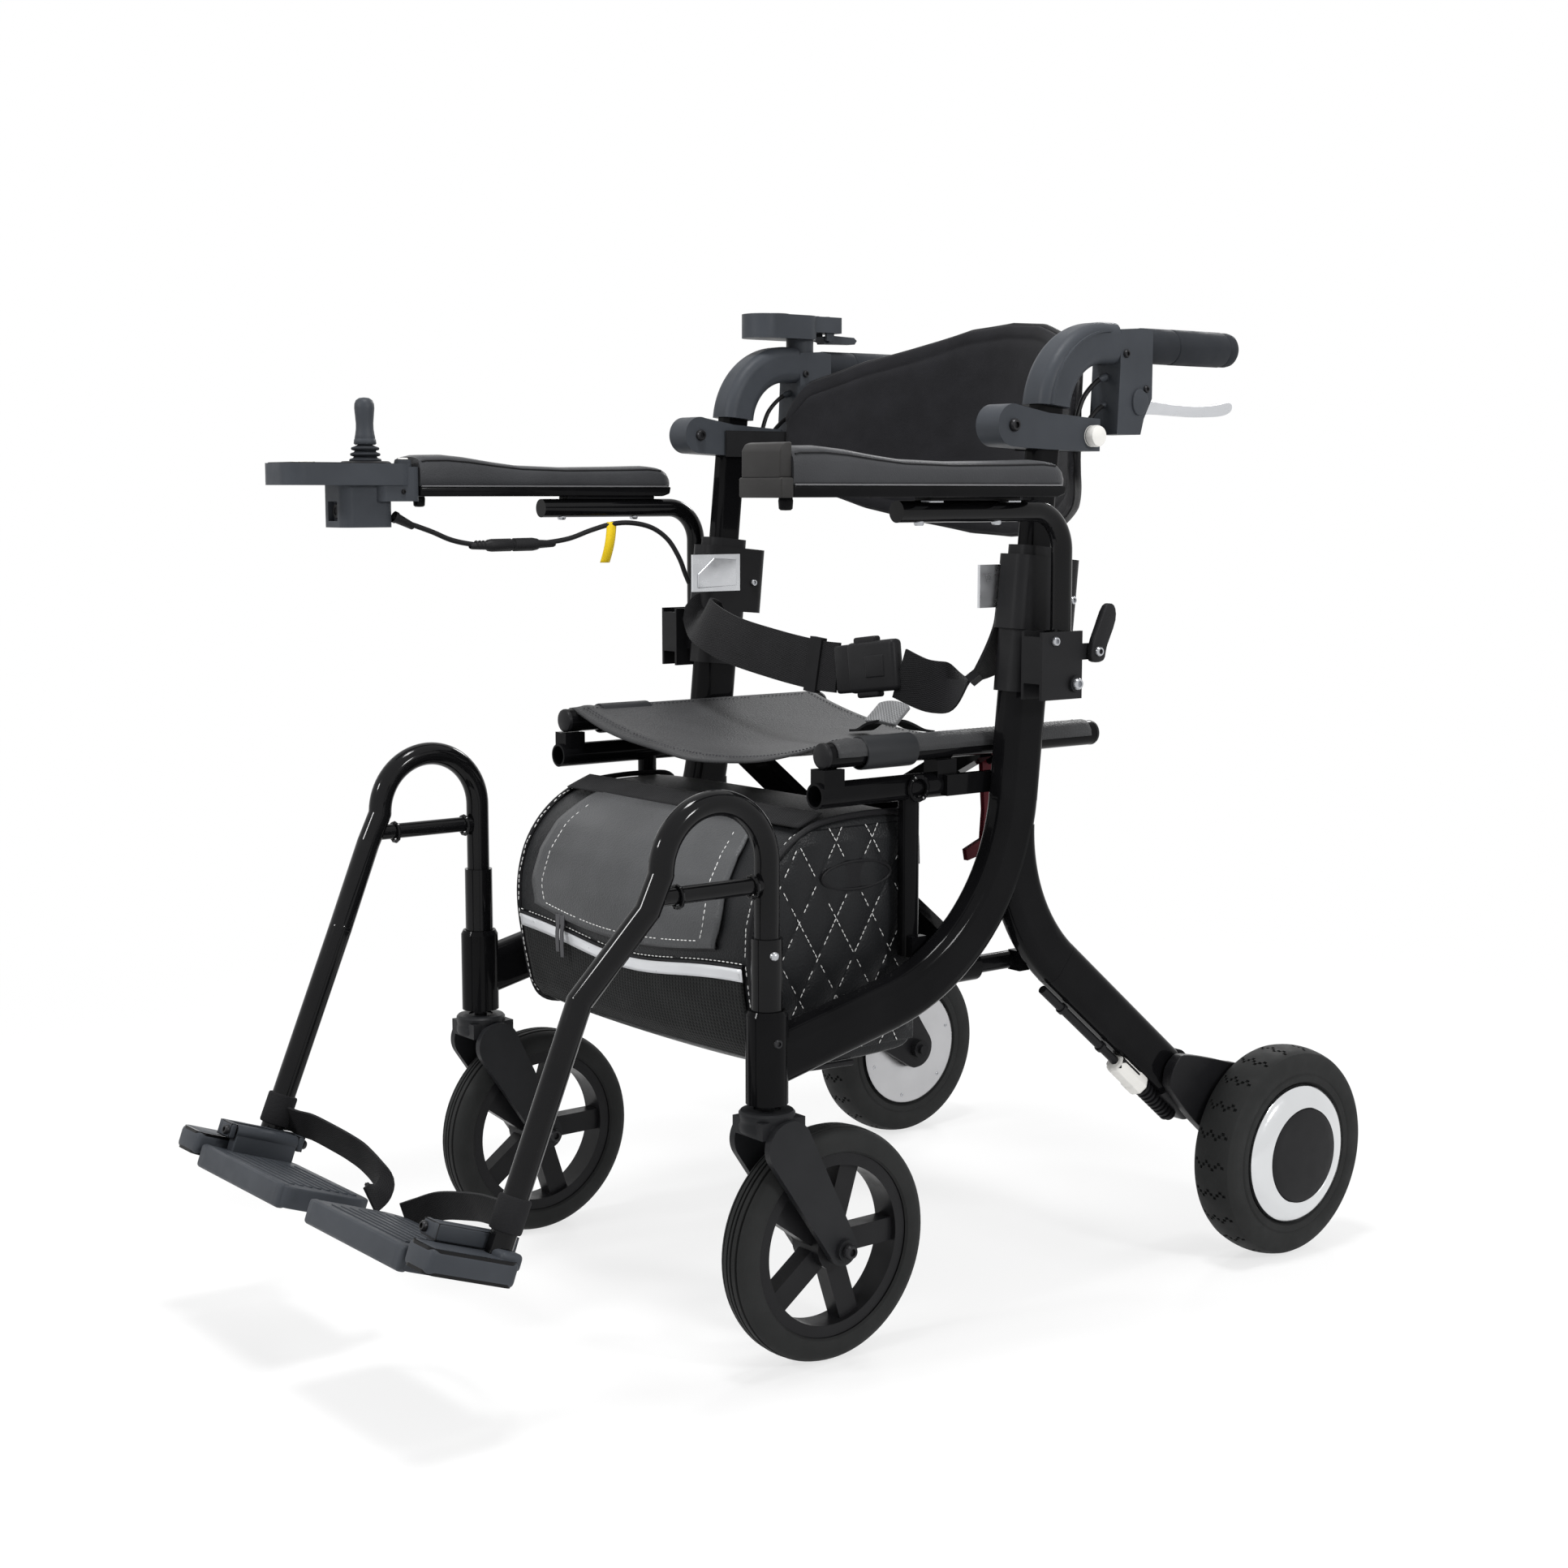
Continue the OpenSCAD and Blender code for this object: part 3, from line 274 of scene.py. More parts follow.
def lathe(form, profile, place, axis, steps=48):
    """Spins a profile of (radius, height) in millimetres round an axis through place."""
    where = facing(place, axis)
    points = [form.verts.new((r * 0.001, 0, h * 0.001)) for r, h in profile]
    edges = [form.edges.new(pair) for pair in zip(points, points[1:])]
    result = bmesh.ops.spin(form, geom=points + edges, cent=(0, 0, 0), axis=(0, 0, 1), angle=math.tau,
                            steps=steps, use_merge=True)
    made = {v for e in result["geom_last"] if isinstance(e, bmesh.types.BMEdge) for v in e.verts}
    seen, edge_of = set(points) | made, list(points)
    while edge_of:
        vert = edge_of.pop()
        for edge in vert.link_edges:
            other = edge.other_vert(vert)
            if other not in seen:
                seen.add(other)
                edge_of.append(other)
    seen = [v for v in seen if v.is_valid]
    bmesh.ops.transform(form, matrix=where, verts=seen)
    bmesh.ops.remove_doubles(form, verts=seen, dist=0.00001)


def round_section(r, n):
    """A round section of n points, r in millimetres."""
    turns = [math.tau * k / n for k in range(n)]
    return [(r * 0.001 * math.cos(a), r * 0.001 * math.sin(a)) for a in turns]


def sweep(form, section, stations, closed=False):
    """Extrudes a closed section from station to station; returns the rings of vertices."""
    ring = [form.verts.new(stations[0] @ Vector((a, b, 0))) for a, b in section]
    edges = [form.edges.new((ring[i], ring[(i + 1) % len(ring)])) for i in range(len(ring))]
    rings, first_edges = [ring], edges
    for before, after in zip(stations, stations[1:]):
        grown = bmesh.ops.extrude_edge_only(form, edges=edges)["geom"]
        verts = [g for g in grown if isinstance(g, bmesh.types.BMVert)]
        edges = [g for g in grown if isinstance(g, bmesh.types.BMEdge) and g.verts[0] in verts
                 and g.verts[1] in verts]
        bmesh.ops.transform(form, matrix=after @ before.inverted(), verts=verts)
        rings.append(verts)
    if closed:
        bmesh.ops.bridge_loops(form, edges=first_edges + edges)
    else:
        bmesh.ops.holes_fill(form, edges=first_edges + edges, sides=0)
    return rings


def ring_bead(form, place, axis, wide, deep, bead=BEAD):
    """A bead round a tube of the given half sizes, at right angles to axis."""
    where = facing(place, axis, (1, 0, 0))
    rings = 40
    stations = []
    for i in range(rings):
        a = math.tau * i / rings
        out = Vector((math.cos(a) * wide, math.sin(a) * deep, 0)) * 0.001
        along = Vector((-math.sin(a) * wide, math.cos(a) * deep, 0))
        wobble = 1 + 0.12 * math.sin(11 * a)
        stations.append(where @ facing(out, along, (0, 0, 1)) @ Matrix.Scale(wobble, 4))
    sweep(form, round_section(bead, 8), stations, closed=True)


for side, sign in SIDES:
    form = bmesh.new()
    for y in (-262, -336):
        ring_bead(form, spot(sign * SIDE_X, y, 408), (0, 1, 0), 8.5, 8.5, 1.8)
    piece("legrest_weld_" + side, form, bright_lacquer, "legrest_" + side)
    form = bmesh.new()
    ring_bead(form, spot(sign * 207.5, -70, 471), (1, 0, 0), 10, 10)
    piece("rail_weld_" + side, form, lacquer, side + "_side")

# Rear tyres: solid grey-black rubber bands on the hub motors, with zig-zag grooves across the tread.
# Each is moulded in one piece and stretched over the motor's shell.
REAR_X, REAR_Y, AXLE_Z = 277, 330, 100
TYRE_R, TREAD_STEPS, TREAD_BANDS, TREAD_PITCH, TREAD_HALF = 99.9, 198, 10, 9, 17
TYRE_WALL = [(66.2, -19), (69, -22.6), (74, -23), (76, -22), (78, -23), (91, -22.6), (95.5, -20)]
tyre_rubber = even_finish("tyre_rubber", (0.016, 0.0165, 0.0165), 0.62, spread=0.3, grain=900.0,
                          depth=0.00012)
for side, sign in SIDES:
    form = bmesh.new()
    middle = spot(sign * REAR_X, REAR_Y, AXLE_Z)
    heights = [-TREAD_HALF + 2 * TREAD_HALF * k / TREAD_BANDS for k in range(TREAD_BANDS + 1)]
    crown = [(TYRE_R - 0.028 * h * h / 3, h) for h in heights]
    far_wall = [(r, -h) for r, h in reversed(TYRE_WALL)]
    lathe(form, TYRE_WALL + crown + far_wall, middle, (sign, 0, 0), TREAD_STEPS)
    bmesh.ops.recalc_face_normals(form, faces=form.faces)
    grooves = []
    for face in form.faces:
        off = face.calc_center_median() - middle
        if math.hypot(off.y, off.z) < TYRE_WALL[-1][0] * 0.001 or abs(off.x) > TREAD_HALF * 0.001:
            continue
        turn = int((math.atan2(off.z, off.y) + math.pi) / math.tau * TREAD_STEPS)
        band = int((off.x * 1000 + TREAD_HALF) / (2 * TREAD_HALF) * TREAD_BANDS)
        if (turn + abs(band % 4 - 2)) % TREAD_PITCH == 0:
            grooves.append(face)
    bmesh.ops.inset_region(form, faces=grooves, thickness=0.0004, depth=-0.002, use_even_offset=True)
    tyre = piece("tread_tyre_" + side, form, tyre_rubber, "rear_wheel_" + side, 30)
    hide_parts("rear_tyre_" + side)

# Hub motors: black cast shells, each with a chromed trim ring and a plain domed cap outside,
# and a pale screwed cover plate on the inner side where the axle comes out.
HUB_SCREWS, SCREW_CIRCLE, SCREW_SEAT = 6, 0.056, 0.0233
chrome = even_finish("chrome_trim", (0.68, 0.69, 0.70), 0.12, 1.0, spread=0.04, grain=500.0, depth=0.00001)
cast_black = even_finish("cast_black", (0.010, 0.010, 0.011), 0.42, grain=1800.0, depth=0.00008)
pale_plate = even_finish("pale_plate", (0.47, 0.47, 0.48), 0.34, 1.0, spread=0.08, grain=700.0,
                         depth=0.00003)
screw_steel = even_finish("screw_steel", (0.42, 0.43, 0.45), 0.28, 1.0, spread=0.1, grain=900.0,
                          depth=0.00003)
dark_screw = even_finish("dark_screw", (0.03, 0.03, 0.032), 0.35, 0.6, grain=900.0, depth=0.00003)


def turned(name, profile, place, axis, steps, finish, body, smooth=40):
    """A turned piece: one profile spun round an axis."""
    form = bmesh.new()
    lathe(form, profile, place, axis, steps)
    return piece(name, form, finish, body, smooth)


def screw(form, place, axis, r):
    """A round screw head with a socket, standing on a face."""
    lathe(form, [(0, r * 0.3), (r * 0.48, r * 0.3), (r * 0.5, r * 0.72), (r * 0.8, r * 0.7), (r, r * 0.4),
                 (r, -0.4)], place, axis, 18)


for side, sign in SIDES:
    wheel = "rear_wheel_" + side
    middle = spot(sign * REAR_X, REAR_Y, AXLE_Z)
    out = (sign, 0, 0)
    paint_node("hub_motor_" + side, cast_black)
    turned("hub_ring_" + side, [(65.6, 19.9), (66, 22), (65, 24.4), (61, 27), (55, 29.6), (49, 31.2),
                                (46, 31.5), (45.2, 30.8), (45, 27.9)], middle, out, 72, chrome, wheel)
    turned("hub_cap_" + side, [(0, 32.6), (20, 32.4), (36, 31.9), (42, 31.5), (44.4, 31), (45, 30),
                               (45, 27.9)], middle, out, 64, cast_black, wheel)
    turned("hub_plate_" + side, [(11, -22.9), (11, -24), (12, -24.6), (62, -24.6), (64.4, -23.6),
                                 (64.8, -22.9)], middle, out, 64, pale_plate, wheel)
    form = bmesh.new()
    for k in range(HUB_SCREWS):
        a = math.tau * k / HUB_SCREWS + 0.3
        hole = Vector((-sign * SCREW_SEAT, SCREW_CIRCLE * math.cos(a), SCREW_CIRCLE * math.sin(a)))
        screw(form, middle + hole, (-sign, 0, 0), 2.4)
    piece("hub_screws_" + side, form, screw_steel, wheel)

# Axle brackets: black steel dropouts bolted under the rear legs, which hold the fixed axles of the
# hub motors; their end castings and leads come further down.
bracket_black = even_finish("bracket_black", (0.008, 0.008, 0.009), 0.36, grain=1300.0, depth=0.00006)
for side in ("left", "right"):
    paint_node("axle_bracket_" + side, bracket_black)

# Caster wheels: five-spoke nylon wheels with grooved grey rubber tyres, on plastic forks
# with a ring cap, whose stems turn in the caster posts.
POST_Y, TRAIL = -247, 60
CASTER_HALF = [(0, 99.9), (1.2, 99.9), (1.5, 97.2), (3, 97.2), (3.3, 99.7), (7.4, 99.4), (7.7, 96.6),
               (9.2, 96.4), (9.5, 98.7), (12.4, 97.4), (15, 94.6), (16.7, 90), (17, 84), (16, 80),
               (14, 78.2)]
caster_nylon = even_finish("caster_nylon", (0.010, 0.010, 0.011), 0.34, grain=1600.0, depth=0.00006)
fork_plastic = even_finish("fork_plastic", (0.014, 0.0145, 0.016), 0.42, grain=1800.0, depth=0.00008)
for side, sign in SIDES:
    middle = spot(sign * SIDE_X, POST_Y + TRAIL, AXLE_Z)
    wheel = "front_wheel_" + side
    paint_node("caster_wheel_" + side, caster_nylon)
    paint_node("caster_fork_" + side, fork_plastic)
    rim = [(r, -h) for h, r in reversed(CASTER_HALF)] + [(r, h) for h, r in CASTER_HALF[1:]]
    tyre = turned("caster_tread_" + side, rim, middle, (sign, 0, 0), 96, tyre_rubber, wheel, 30)
    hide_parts("caster_tyre_" + side)
    turned("fork_cap_" + side, [(22.4, 206), (23.2, 208), (23.2, 212), (22.6, 213.4), (22.6, 216),
                                (23.2, 217), (23.2, 221.6), (21.6, 223.4), (14, 224.2), (11.5, 224.2),
                                (11.5, 222)], spot(sign * SIDE_X, POST_Y, 0), (0, 0, 1), 56,
           fork_plastic, "fork_" + side)
    form = bmesh.new()
    for end in (-1, 1):
        screw(form, middle + Vector((end * 0.0335, 0, 0)), (end, 0, 0), 6.4)
    piece("fork_bolts_" + side, form, dark_screw, "fork_" + side)

# Storage bag: a sewn shell of leather-look vinyl under the seat, with a stitched flap, a zip, a
# reflective stripe, a mesh pocket in front and diamond quilting on the sides; it hangs on the rails.
BAG_HALF, BAG_SWELL, BAG_EDGE, BAG_KEEP = 181, 7, 0.182, 0.475
STRIPE_HALF, BAND_HALF = 172, 176
BAG_LINE = [(-60, 236), (-120, 234), (-180, 237), (-206, 244), (-218, 262), (-226, 300), (-231, 336),
            (-230, 364), (-222, 392), (-206, 416), (-184, 434), (-158, 445), (-120, 449), (-80, 449),
            (-54, 446), (-46, 432), (-44, 400), (-44, 340), (-44, 280), (-47, 246)]
VINYL = (0.010, 0.0105, 0.0115)
FLAP = (0.060, 0.0615, 0.064)
WHITE_THREAD = (0.70, 0.70, 0.69)


def leather_finish(name, colour, roughness, pebble=620.0, depth=0.00025):
    """Coated cloth: a pebbled grain, soft creases and uneven sheen, on Object coordinates."""
    finish, tree, shader, place = blank_finish(name, roughness, Sheen_Weight=0.03)
    cells = wire(tree, "ShaderNodeTexVoronoi", (place, "Vector"), Scale=pebble)
    broad = wire(tree, "ShaderNodeTexNoise", (place, "Vector"), Scale=16.0, Detail=5.0)
    low = [c * 0.7 for c in colour]
    high = [c * 1.5 for c in colour]
    tree.links.new(tinted(tree, broad.outputs[0], low, high), shader.inputs["Base Color"])
    crease = sums(tree, "MULTIPLY", broad.outputs[0], 2.2)
    raise_grain(tree, shader, sums(tree, "ADD", cells.outputs[0], crease), depth)
    gloss = wire(tree, "ShaderNodeMapRange", (cells.outputs[0], "Value"), To_Min=roughness - 0.08,
                 To_Max=roughness + 0.12)
    tree.links.new(gloss.outputs[0], shader.inputs["Roughness"])
    return finish


def woven_finish(name, colour, pitch_u, pitch_v, roughness=0.85, depth=0.0004, highlight_lift=1.8, holes=0.0):
    """Webbing or net: two crossing sets of threads that follow the piece's own UV map, in metres, coloured
    with painted shade between them.
    """
    finish, tree, shader, place = blank_finish(name, roughness, Sheen_Weight=0.05)
    split = wire(tree, "ShaderNodeSeparateXYZ", (tree.nodes.new("ShaderNodeUVMap").outputs[0], "Vector"))
    along = sums(tree, "SINE", sums(tree, "MULTIPLY", split.outputs[0], math.tau / pitch_u))
    across = sums(tree, "SINE", sums(tree, "MULTIPLY", split.outputs[1], math.tau / pitch_v))
    cross = sums(tree, "MULTIPLY", along, across)
    if holes:
        cross = sums(tree, "MAXIMUM", along, across)
    height = sums(tree, "MULTIPLY_ADD", cross, 0.5)
    height.node.inputs[2].default_value = 0.5
    # Painted shade and highlight: the colour follows the weave's height, darker in the low places between
    # threads and in the net's holes, lighter on the thread crowns, times a random mottle.
    dirt = wire(tree, "ShaderNodeTexNoise", (place, "Vector"), Scale=40.0, Detail=4.0)
    shade = sums(tree, "MULTIPLY", height, dirt.outputs[0])
    tree.links.new(tinted(tree, shade, [c * 0.45 for c in colour], [c * highlight_lift for c in colour]),
                   shader.inputs["Base Color"])
    raise_grain(tree, shader, height, depth)
    return finish


def with_fold(made):
    """A soft piece, given its own copy of its mesh."""
    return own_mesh(made)


def on_bag(name, form, finish):
    """A piece of the bag, riding on the left side with it."""
    return with_fold(piece(name, form, finish, "left_side"))


def curve_points(points, steps):
    """A smooth line through the points, with the given steps between each pair."""
    out = []
    for i in range(len(points) - 1):
        p0, p1 = points[max(i - 1, 0)], points[i]
        p2, p3 = points[i + 1], points[min(i + 2, len(points) - 1)]
        for k in range(steps):
            t = k / steps
            out.append(0.5 * (2 * p1 + (p2 - p0) * t + (2 * p0 - 5 * p1 + 4 * p2 - p3) * t * t
                              + (3 * p1 - p0 - 3 * p2 + p3) * t ** 3))
    out.append(points[-1].copy())
    return out


def stations_on(points, out=None):
    """A matrix at each point of a line, Z along the line and X towards out."""
    made = []
    side = Vector(out) if out else None
    for i, p in enumerate(points):
        along = points[min(i + 1, len(points) - 1)] - points[max(i - 1, 0)]
        if side is None:
            side = Vector((0, 0, 1)) if abs(along.normalized().z) < 0.9 else Vector((1, 0, 0))
        station = facing(p, along, side)
        if out is None:
            side = station.to_3x3().col[0].copy()
        made.append(station)
    return made


def flat_section(thick, wide):
    """A flat strap's section from its half sizes, in metres."""
    return [(thick, wide), (-thick, wide), (-thick, -wide), (thick, -wide)]


def line_through(points, steps, sign=1):
    """A smooth line through points in millimetres, mirrored where the sign is -1."""
    return curve_points([spot(sign * x, y, z) for x, y, z in points], steps)


def stitch_row(form, points, out, dash=4.0, pause=1.5, r=0.5):
    """Thread dashes along a line of points, each a small rounded bar lying on the cloth."""
    at, left = 0.0, True
    for a, b in zip(points, points[1:]):
        gone, length = 0.0, (b - a).length
        while gone < length:
            step = min((dash if left else pause) * 0.001 - at, length - gone)
            if left and at == 0.0 and length - gone > 0.0005:
                middle = a.lerp(b, min(1.0, (gone + dash * 0.0005) / length))
                where = facing(middle, b - a, out)
                where = where @ Matrix.Diagonal((r * 0.001, r * 0.001, dash * 0.0005, 1))
                bmesh.ops.create_uvsphere(form, u_segments=6, v_segments=4, radius=1.0, matrix=where)
            gone += step
            at += step
            if at >= (dash if left else pause) * 0.001 - 1e-9:
                left, at = not left, 0.0


def bag_front(z):
    """How far forward the bag's front stands at a height, in millimetres."""
    line = BAG_LINE[3:12]
    for (y0, z0), (y1, z1) in zip(line, line[1:]):
        if z0 <= z <= z1:
            return y0 + (y1 - y0) * (z - z0) / (z1 - z0)
    return line[0][0] if z < line[0][1] else line[-1][0]


def bag_swell(x):
    """How far the filled bag bulges across its width, in millimetres."""
    return BAG_SWELL * (1 - (x / BAG_HALF) ** 2)


def on_front(x, z, proud=0.0):
    """A point on the bag's swelling front, in metres."""
    slope = (bag_front(z + 4) - bag_front(z - 4)) / 8
    lean = math.hypot(1, slope)
    return spot(x, bag_front(z) - bag_swell(x) - proud / lean, z + proud * slope / lean)


bag_vinyl = leather_finish("bag_vinyl", VINYL, 0.34)
flap_vinyl = leather_finish("flap_vinyl", FLAP, 0.32)
thread = even_finish("white_thread", WHITE_THREAD, 0.8, grain=3000.0, depth=0.0001)
piping_vinyl = leather_finish("piping_vinyl", (0.008, 0.008, 0.009), 0.45, 900.0, 0.0001)
pocket_net = woven_finish("pocket_net", (0.009, 0.0095, 0.0095), 0.0042, 0.0036, 0.8, 0.0006, 2.2,
                          holes=1.0)
band_cloth = woven_finish("band_cloth", (0.012, 0.012, 0.013), 0.0028, 0.0060, 0.8, 0.0004, 2.0)
stripe_silver = even_finish("stripe_silver", (0.66, 0.67, 0.69), 0.32, 0.35, spread=0.12, grain=1400.0,
                            depth=0.0001)
zip_metal = even_finish("zip_metal", (0.07, 0.07, 0.075), 0.3, 0.8, grain=900.0, depth=0.00003)

form = bmesh.new()
bag_profile = curve_points([Vector((y, z, 0)) for y, z in BAG_LINE] + [Vector((*BAG_LINE[0], 0))], 2)[:-1]
slices = [(-181, 0.93), (-179, 0.97), (-172, 0.99), (-120, 1), (-60, 1), (0, 1), (60, 1), (120, 1),
          (172, 0.99), (179, 0.97), (181, 0.93)]
stations = [Matrix.Translation((x * 0.001, 0, 0)) @ facing((0, 0, 0), (1, 0, 0), (0, 1, 0))
            @ Matrix.Diagonal((k, k, 1, 1)) for x, k in slices]
centre_y, centre_z = -140, 340
section = [((p.x - centre_y) * 0.001, (p.y - centre_z) * 0.001) for p in bag_profile]
sweep(form, section, stations)
bmesh.ops.translate(form, verts=form.verts, vec=spot(0, centre_y, centre_z))
for vert in form.verts:
    x, y, z = vert.co.x * 1000, vert.co.y * 1000 - FRONT_SHIFT, vert.co.z * 1000
    swell = bag_swell(x)
    if y < -150 and z < 440:
        vert.co.y -= swell * 0.001 * min(1.0, (-150 - y) / 50)
    if z < 260:
        vert.co.z -= 0.0006 * swell * max(0.0, math.sin(math.pi * min(1.0, (-44 - y) / 176)))
bag = piece("bag_shell", form, bag_vinyl, "left_side", 60)
rounded = bag.modifiers.new("round", "SUBSURF")
rounded.levels = 2
rounded.render_levels = 2
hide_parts("storage_bag")
with_fold(bag)


def panel(name, across, along, place, finish, thick, body, size):
    """A cloth or vinyl panel: a grid whose points go to place(u, v), u and v from 0 to 1, then thickened."""
    form = bmesh.new()
    bmesh.ops.create_grid(form, x_segments=across, y_segments=along, size=0.5)
    chart = form.loops.layers.uv.new("UVMap")
    for face in form.faces:
        for loop in face.loops:
            loop[chart].uv = ((loop.vert.co.x + 0.5) * size[0], (loop.vert.co.y + 0.5) * size[1])
    for vert in form.verts:
        vert.co = place(vert.co.x + 0.5, vert.co.y + 0.5)
    made = piece(name, form, finish, body, 60)
    wall = made.modifiers.new("cloth", "SOLIDIFY")
    wall.thickness = thick * 0.001
    wall.offset = 1.0
    return made


def pocket_top(u):
    """Height of the pocket's wavy upper edge across the bag."""
    return 318 - 10 * math.sin(math.pi * u) + 2.5 * math.sin(9 * u)


def pocket_place(u, v):
    """The net pocket, slack in its middle."""
    x = -170 + 340 * u
    z = 248 + (pocket_top(u) - 248) * v
    return on_front(x, z, 1.4 + 3.5 * math.sin(math.pi * v) * math.sin(math.pi * u))


def stripe_place(u, v):
    """The stripe along the pocket's upper edge."""
    return on_front(-STRIPE_HALF + 2 * STRIPE_HALF * u, pocket_top(u) + 11 * v - 1, 3.0)


def flap_place(u, v):
    """The flap over the bag's front, with its corners drawn in."""
    low, high = 342 - 12 * math.sin(math.pi * u), 440
    z = low + (high - low) * v
    reach = 150 - 14 * v - 10 * math.cos(math.pi * v) ** 8
    return on_front(-reach + 2 * reach * u, z, 2.4 + 3 * math.sin(math.pi * u) * math.sin(math.pi * v))


def band_place(u, v):
    """The woven band along the bag's upper front edge."""
    x = -BAND_HALF + 2 * BAND_HALF * u
    return spot(x, -176 + 26 * v, 442.4 + 10 * v - 0.832 * (v - 0.5) ** 2)


net = panel("bag_net", 60, 16, pocket_place, pocket_net, 0.8, "left_side", (0.34, 0.08))
stripe = panel("bag_stripe", 60, 3, stripe_place, stripe_silver, 0.8, "left_side", (0.34, 0.011))
flap = panel("bag_flap", 40, 24, flap_place, flap_vinyl, 1.6, "left_side", (0.3, 0.1))
band = panel("bag_band", 60, 6, band_place, band_cloth, 1.2, "left_side", (0.35, 0.03))
for made in (net, stripe, flap, band):
    with_fold(made)

form = bmesh.new()
flap_line = [flap_place(u, 0.06) for u in [0.08 + 0.84 * k / 30 for k in range(31)]]
left_edge = [flap_place(0.93, v) for v in [0.08 + 0.84 * k / 14 for k in range(15)]]
right_edge = [flap_place(0.07, v) for v in [0.08 + 0.84 * k / 14 for k in range(15)]]
for line in (flap_line, left_edge, right_edge):
    stitch_row(form, [p + Vector((0, -0.0018, 0.0004)) for p in line], (0, -1, 0))
seam = [on_front(STRIPE_HALF * (k / 30 - 1), pocket_top(k / 60) + 14, 1.0) for k in range(61)]
stitch_row(form, seam, (0, -1, 0))
for x in (-BAND_HALF, BAND_HALF):
    stitch_row(form, [on_front(x, z, 1.0) for z in range(250, 446, 4)], (0, -1, 0))
on_bag("bag_stitches", form, thread)

form = bmesh.new()
for x in (-178.5, 178.5):
    edge = curve_points([spot(x, y + (1.5 if y < -100 else -1.5), z) for y, z in BAG_LINE[1:17]], 4)
    sweep(form, round_section(2.6, 8), stations_on(edge))
hem = [on_front(STRIPE_HALF * (k / 25 - 1), pocket_top(k / 50) + 11, 0.8) for k in range(51)]
sweep(form, round_section(1.6, 8), stations_on(hem))
low_hem = [flap_place(k / 40, 0.0) + Vector((0, 0.0006, 0)) for k in range(41)]
sweep(form, round_section(1.8, 8), stations_on(low_hem))
on_bag("bag_piping", form, piping_vinyl)

form = bmesh.new()
for x, hang in ((-96, 30), (-88, 34)):
    top = on_front(x, 334, 3.0)
    bmesh.ops.create_cube(form, size=1, matrix=Matrix.Translation(top)
                          @ Matrix.Diagonal((0.007, 0.004, 0.010, 1)))
    tab = curve_points([top, top + Vector((0.001, -0.003, -0.012)),
                        top + Vector((0.002, -0.003, -hang * 0.001))], 6)
    sweep(form, flat_section(0.0006, 0.0028), stations_on(tab, (0, -1, 0)))
bmesh.ops.bevel(form, geom=form.edges, offset=0.0004, offset_type="OFFSET", segments=1, profile=0.5,
                affect="EDGES", material=-1)
on_bag("bag_zip_pulls", form, zip_metal)

# Quilted side panels of the bag: foam-backed vinyl, stitched in a lattice of white diamonds, with a
# plain oval patch over the grab slot.
QUILT_WIDE, QUILT_TALL = 40, 66
QUILT_REAR, QUILT_LOW, QUILT_HIGH, QUILT_INSET, QUILT_EDGE = -50, 246, 440, 6, 12
SLOT_Y, SLOT_Z = -118, 398


def thicken(form, outline, vec):
    """A plate between an outline of vertices and its copy moved by vec; returns the copy's vertices."""
    face = form.faces.new(outline)
    grown = bmesh.ops.extrude_face_region(form, geom=[face])["geom"]
    tops = [g for g in grown if isinstance(g, bmesh.types.BMVert)]
    bmesh.ops.translate(form, verts=tops, vec=vec)
    return tops


def quilt_height(y, z):
    """Swell of the quilting between its stitch lines, from 0 to 1."""
    a = math.sin(math.pi * (y / QUILT_WIDE + z / QUILT_TALL))
    b = math.sin(math.pi * (y / QUILT_WIDE - z / QUILT_TALL))
    return math.sqrt(abs(a * b))


def quilt_point(y, z, sign, proud=0.0):
    """A point on the quilted side, in metres."""
    inside = min(QUILT_REAR - y, y - bag_front(z) - QUILT_INSET, z - QUILT_LOW, QUILT_HIGH - z)
    edge = max(0.0, min(inside / QUILT_EDGE, 1.0))
    return spot(sign * (179.2 + 2.6 * edge * quilt_height(y, z) + 1.2 * edge + proud), y, z)


def quilt_place(sign):
    """The placing of one side's quilted panel."""
    def place(u, v):
        z = QUILT_LOW + (QUILT_HIGH - QUILT_LOW) * v
        front = bag_front(z) + QUILT_INSET
        return quilt_point(front + (QUILT_REAR - front) * u, z, sign)
    return place


for side, sign in SIDES:
    form = bmesh.new()
    quilt = panel("bag_quilt_" + side, 110, 120, quilt_place(sign), bag_vinyl, 0.8, "left_side",
                  (0.17, 0.19))
    with_fold(quilt)
    for way in (1, -1):
        for k in range(-16, 17):
            line = []
            for step in range(98):
                z = QUILT_LOW + 1 + 2 * step
                y = QUILT_WIDE * (k - way * z / QUILT_TALL)
                inside = bag_front(z) + QUILT_INSET + 2 < y < QUILT_REAR - 2
                slot_here = abs(y - SLOT_Y) < 44 and abs(z - SLOT_Z) < 16
                if inside and not slot_here:
                    line.append(quilt_point(y, z, sign, 1.9))
                    continue
                if len(line) > 2:
                    stitch_row(form, line, (1, 0, 0))
                line = []
            if len(line) > 2:
                stitch_row(form, line, (1, 0, 0))
    on_bag("bag_quilt_thread_" + side, form, thread)
    form = bmesh.new()
    turns = [math.tau * k / 40 for k in range(40)]
    oval = [spot(sign * 182.5, SLOT_Y + 38 * math.cos(a), SLOT_Z + 12 * math.sin(a)) for a in turns]
    thicken(form, [form.verts.new(p) for p in oval], (-sign * 0.004, 0, 0))
    sweep(form, round_section(1.6, 8), stations_on(oval, (1, 0, 0)), closed=True)
    on_bag("bag_patch_" + side, form, piping_vinyl)

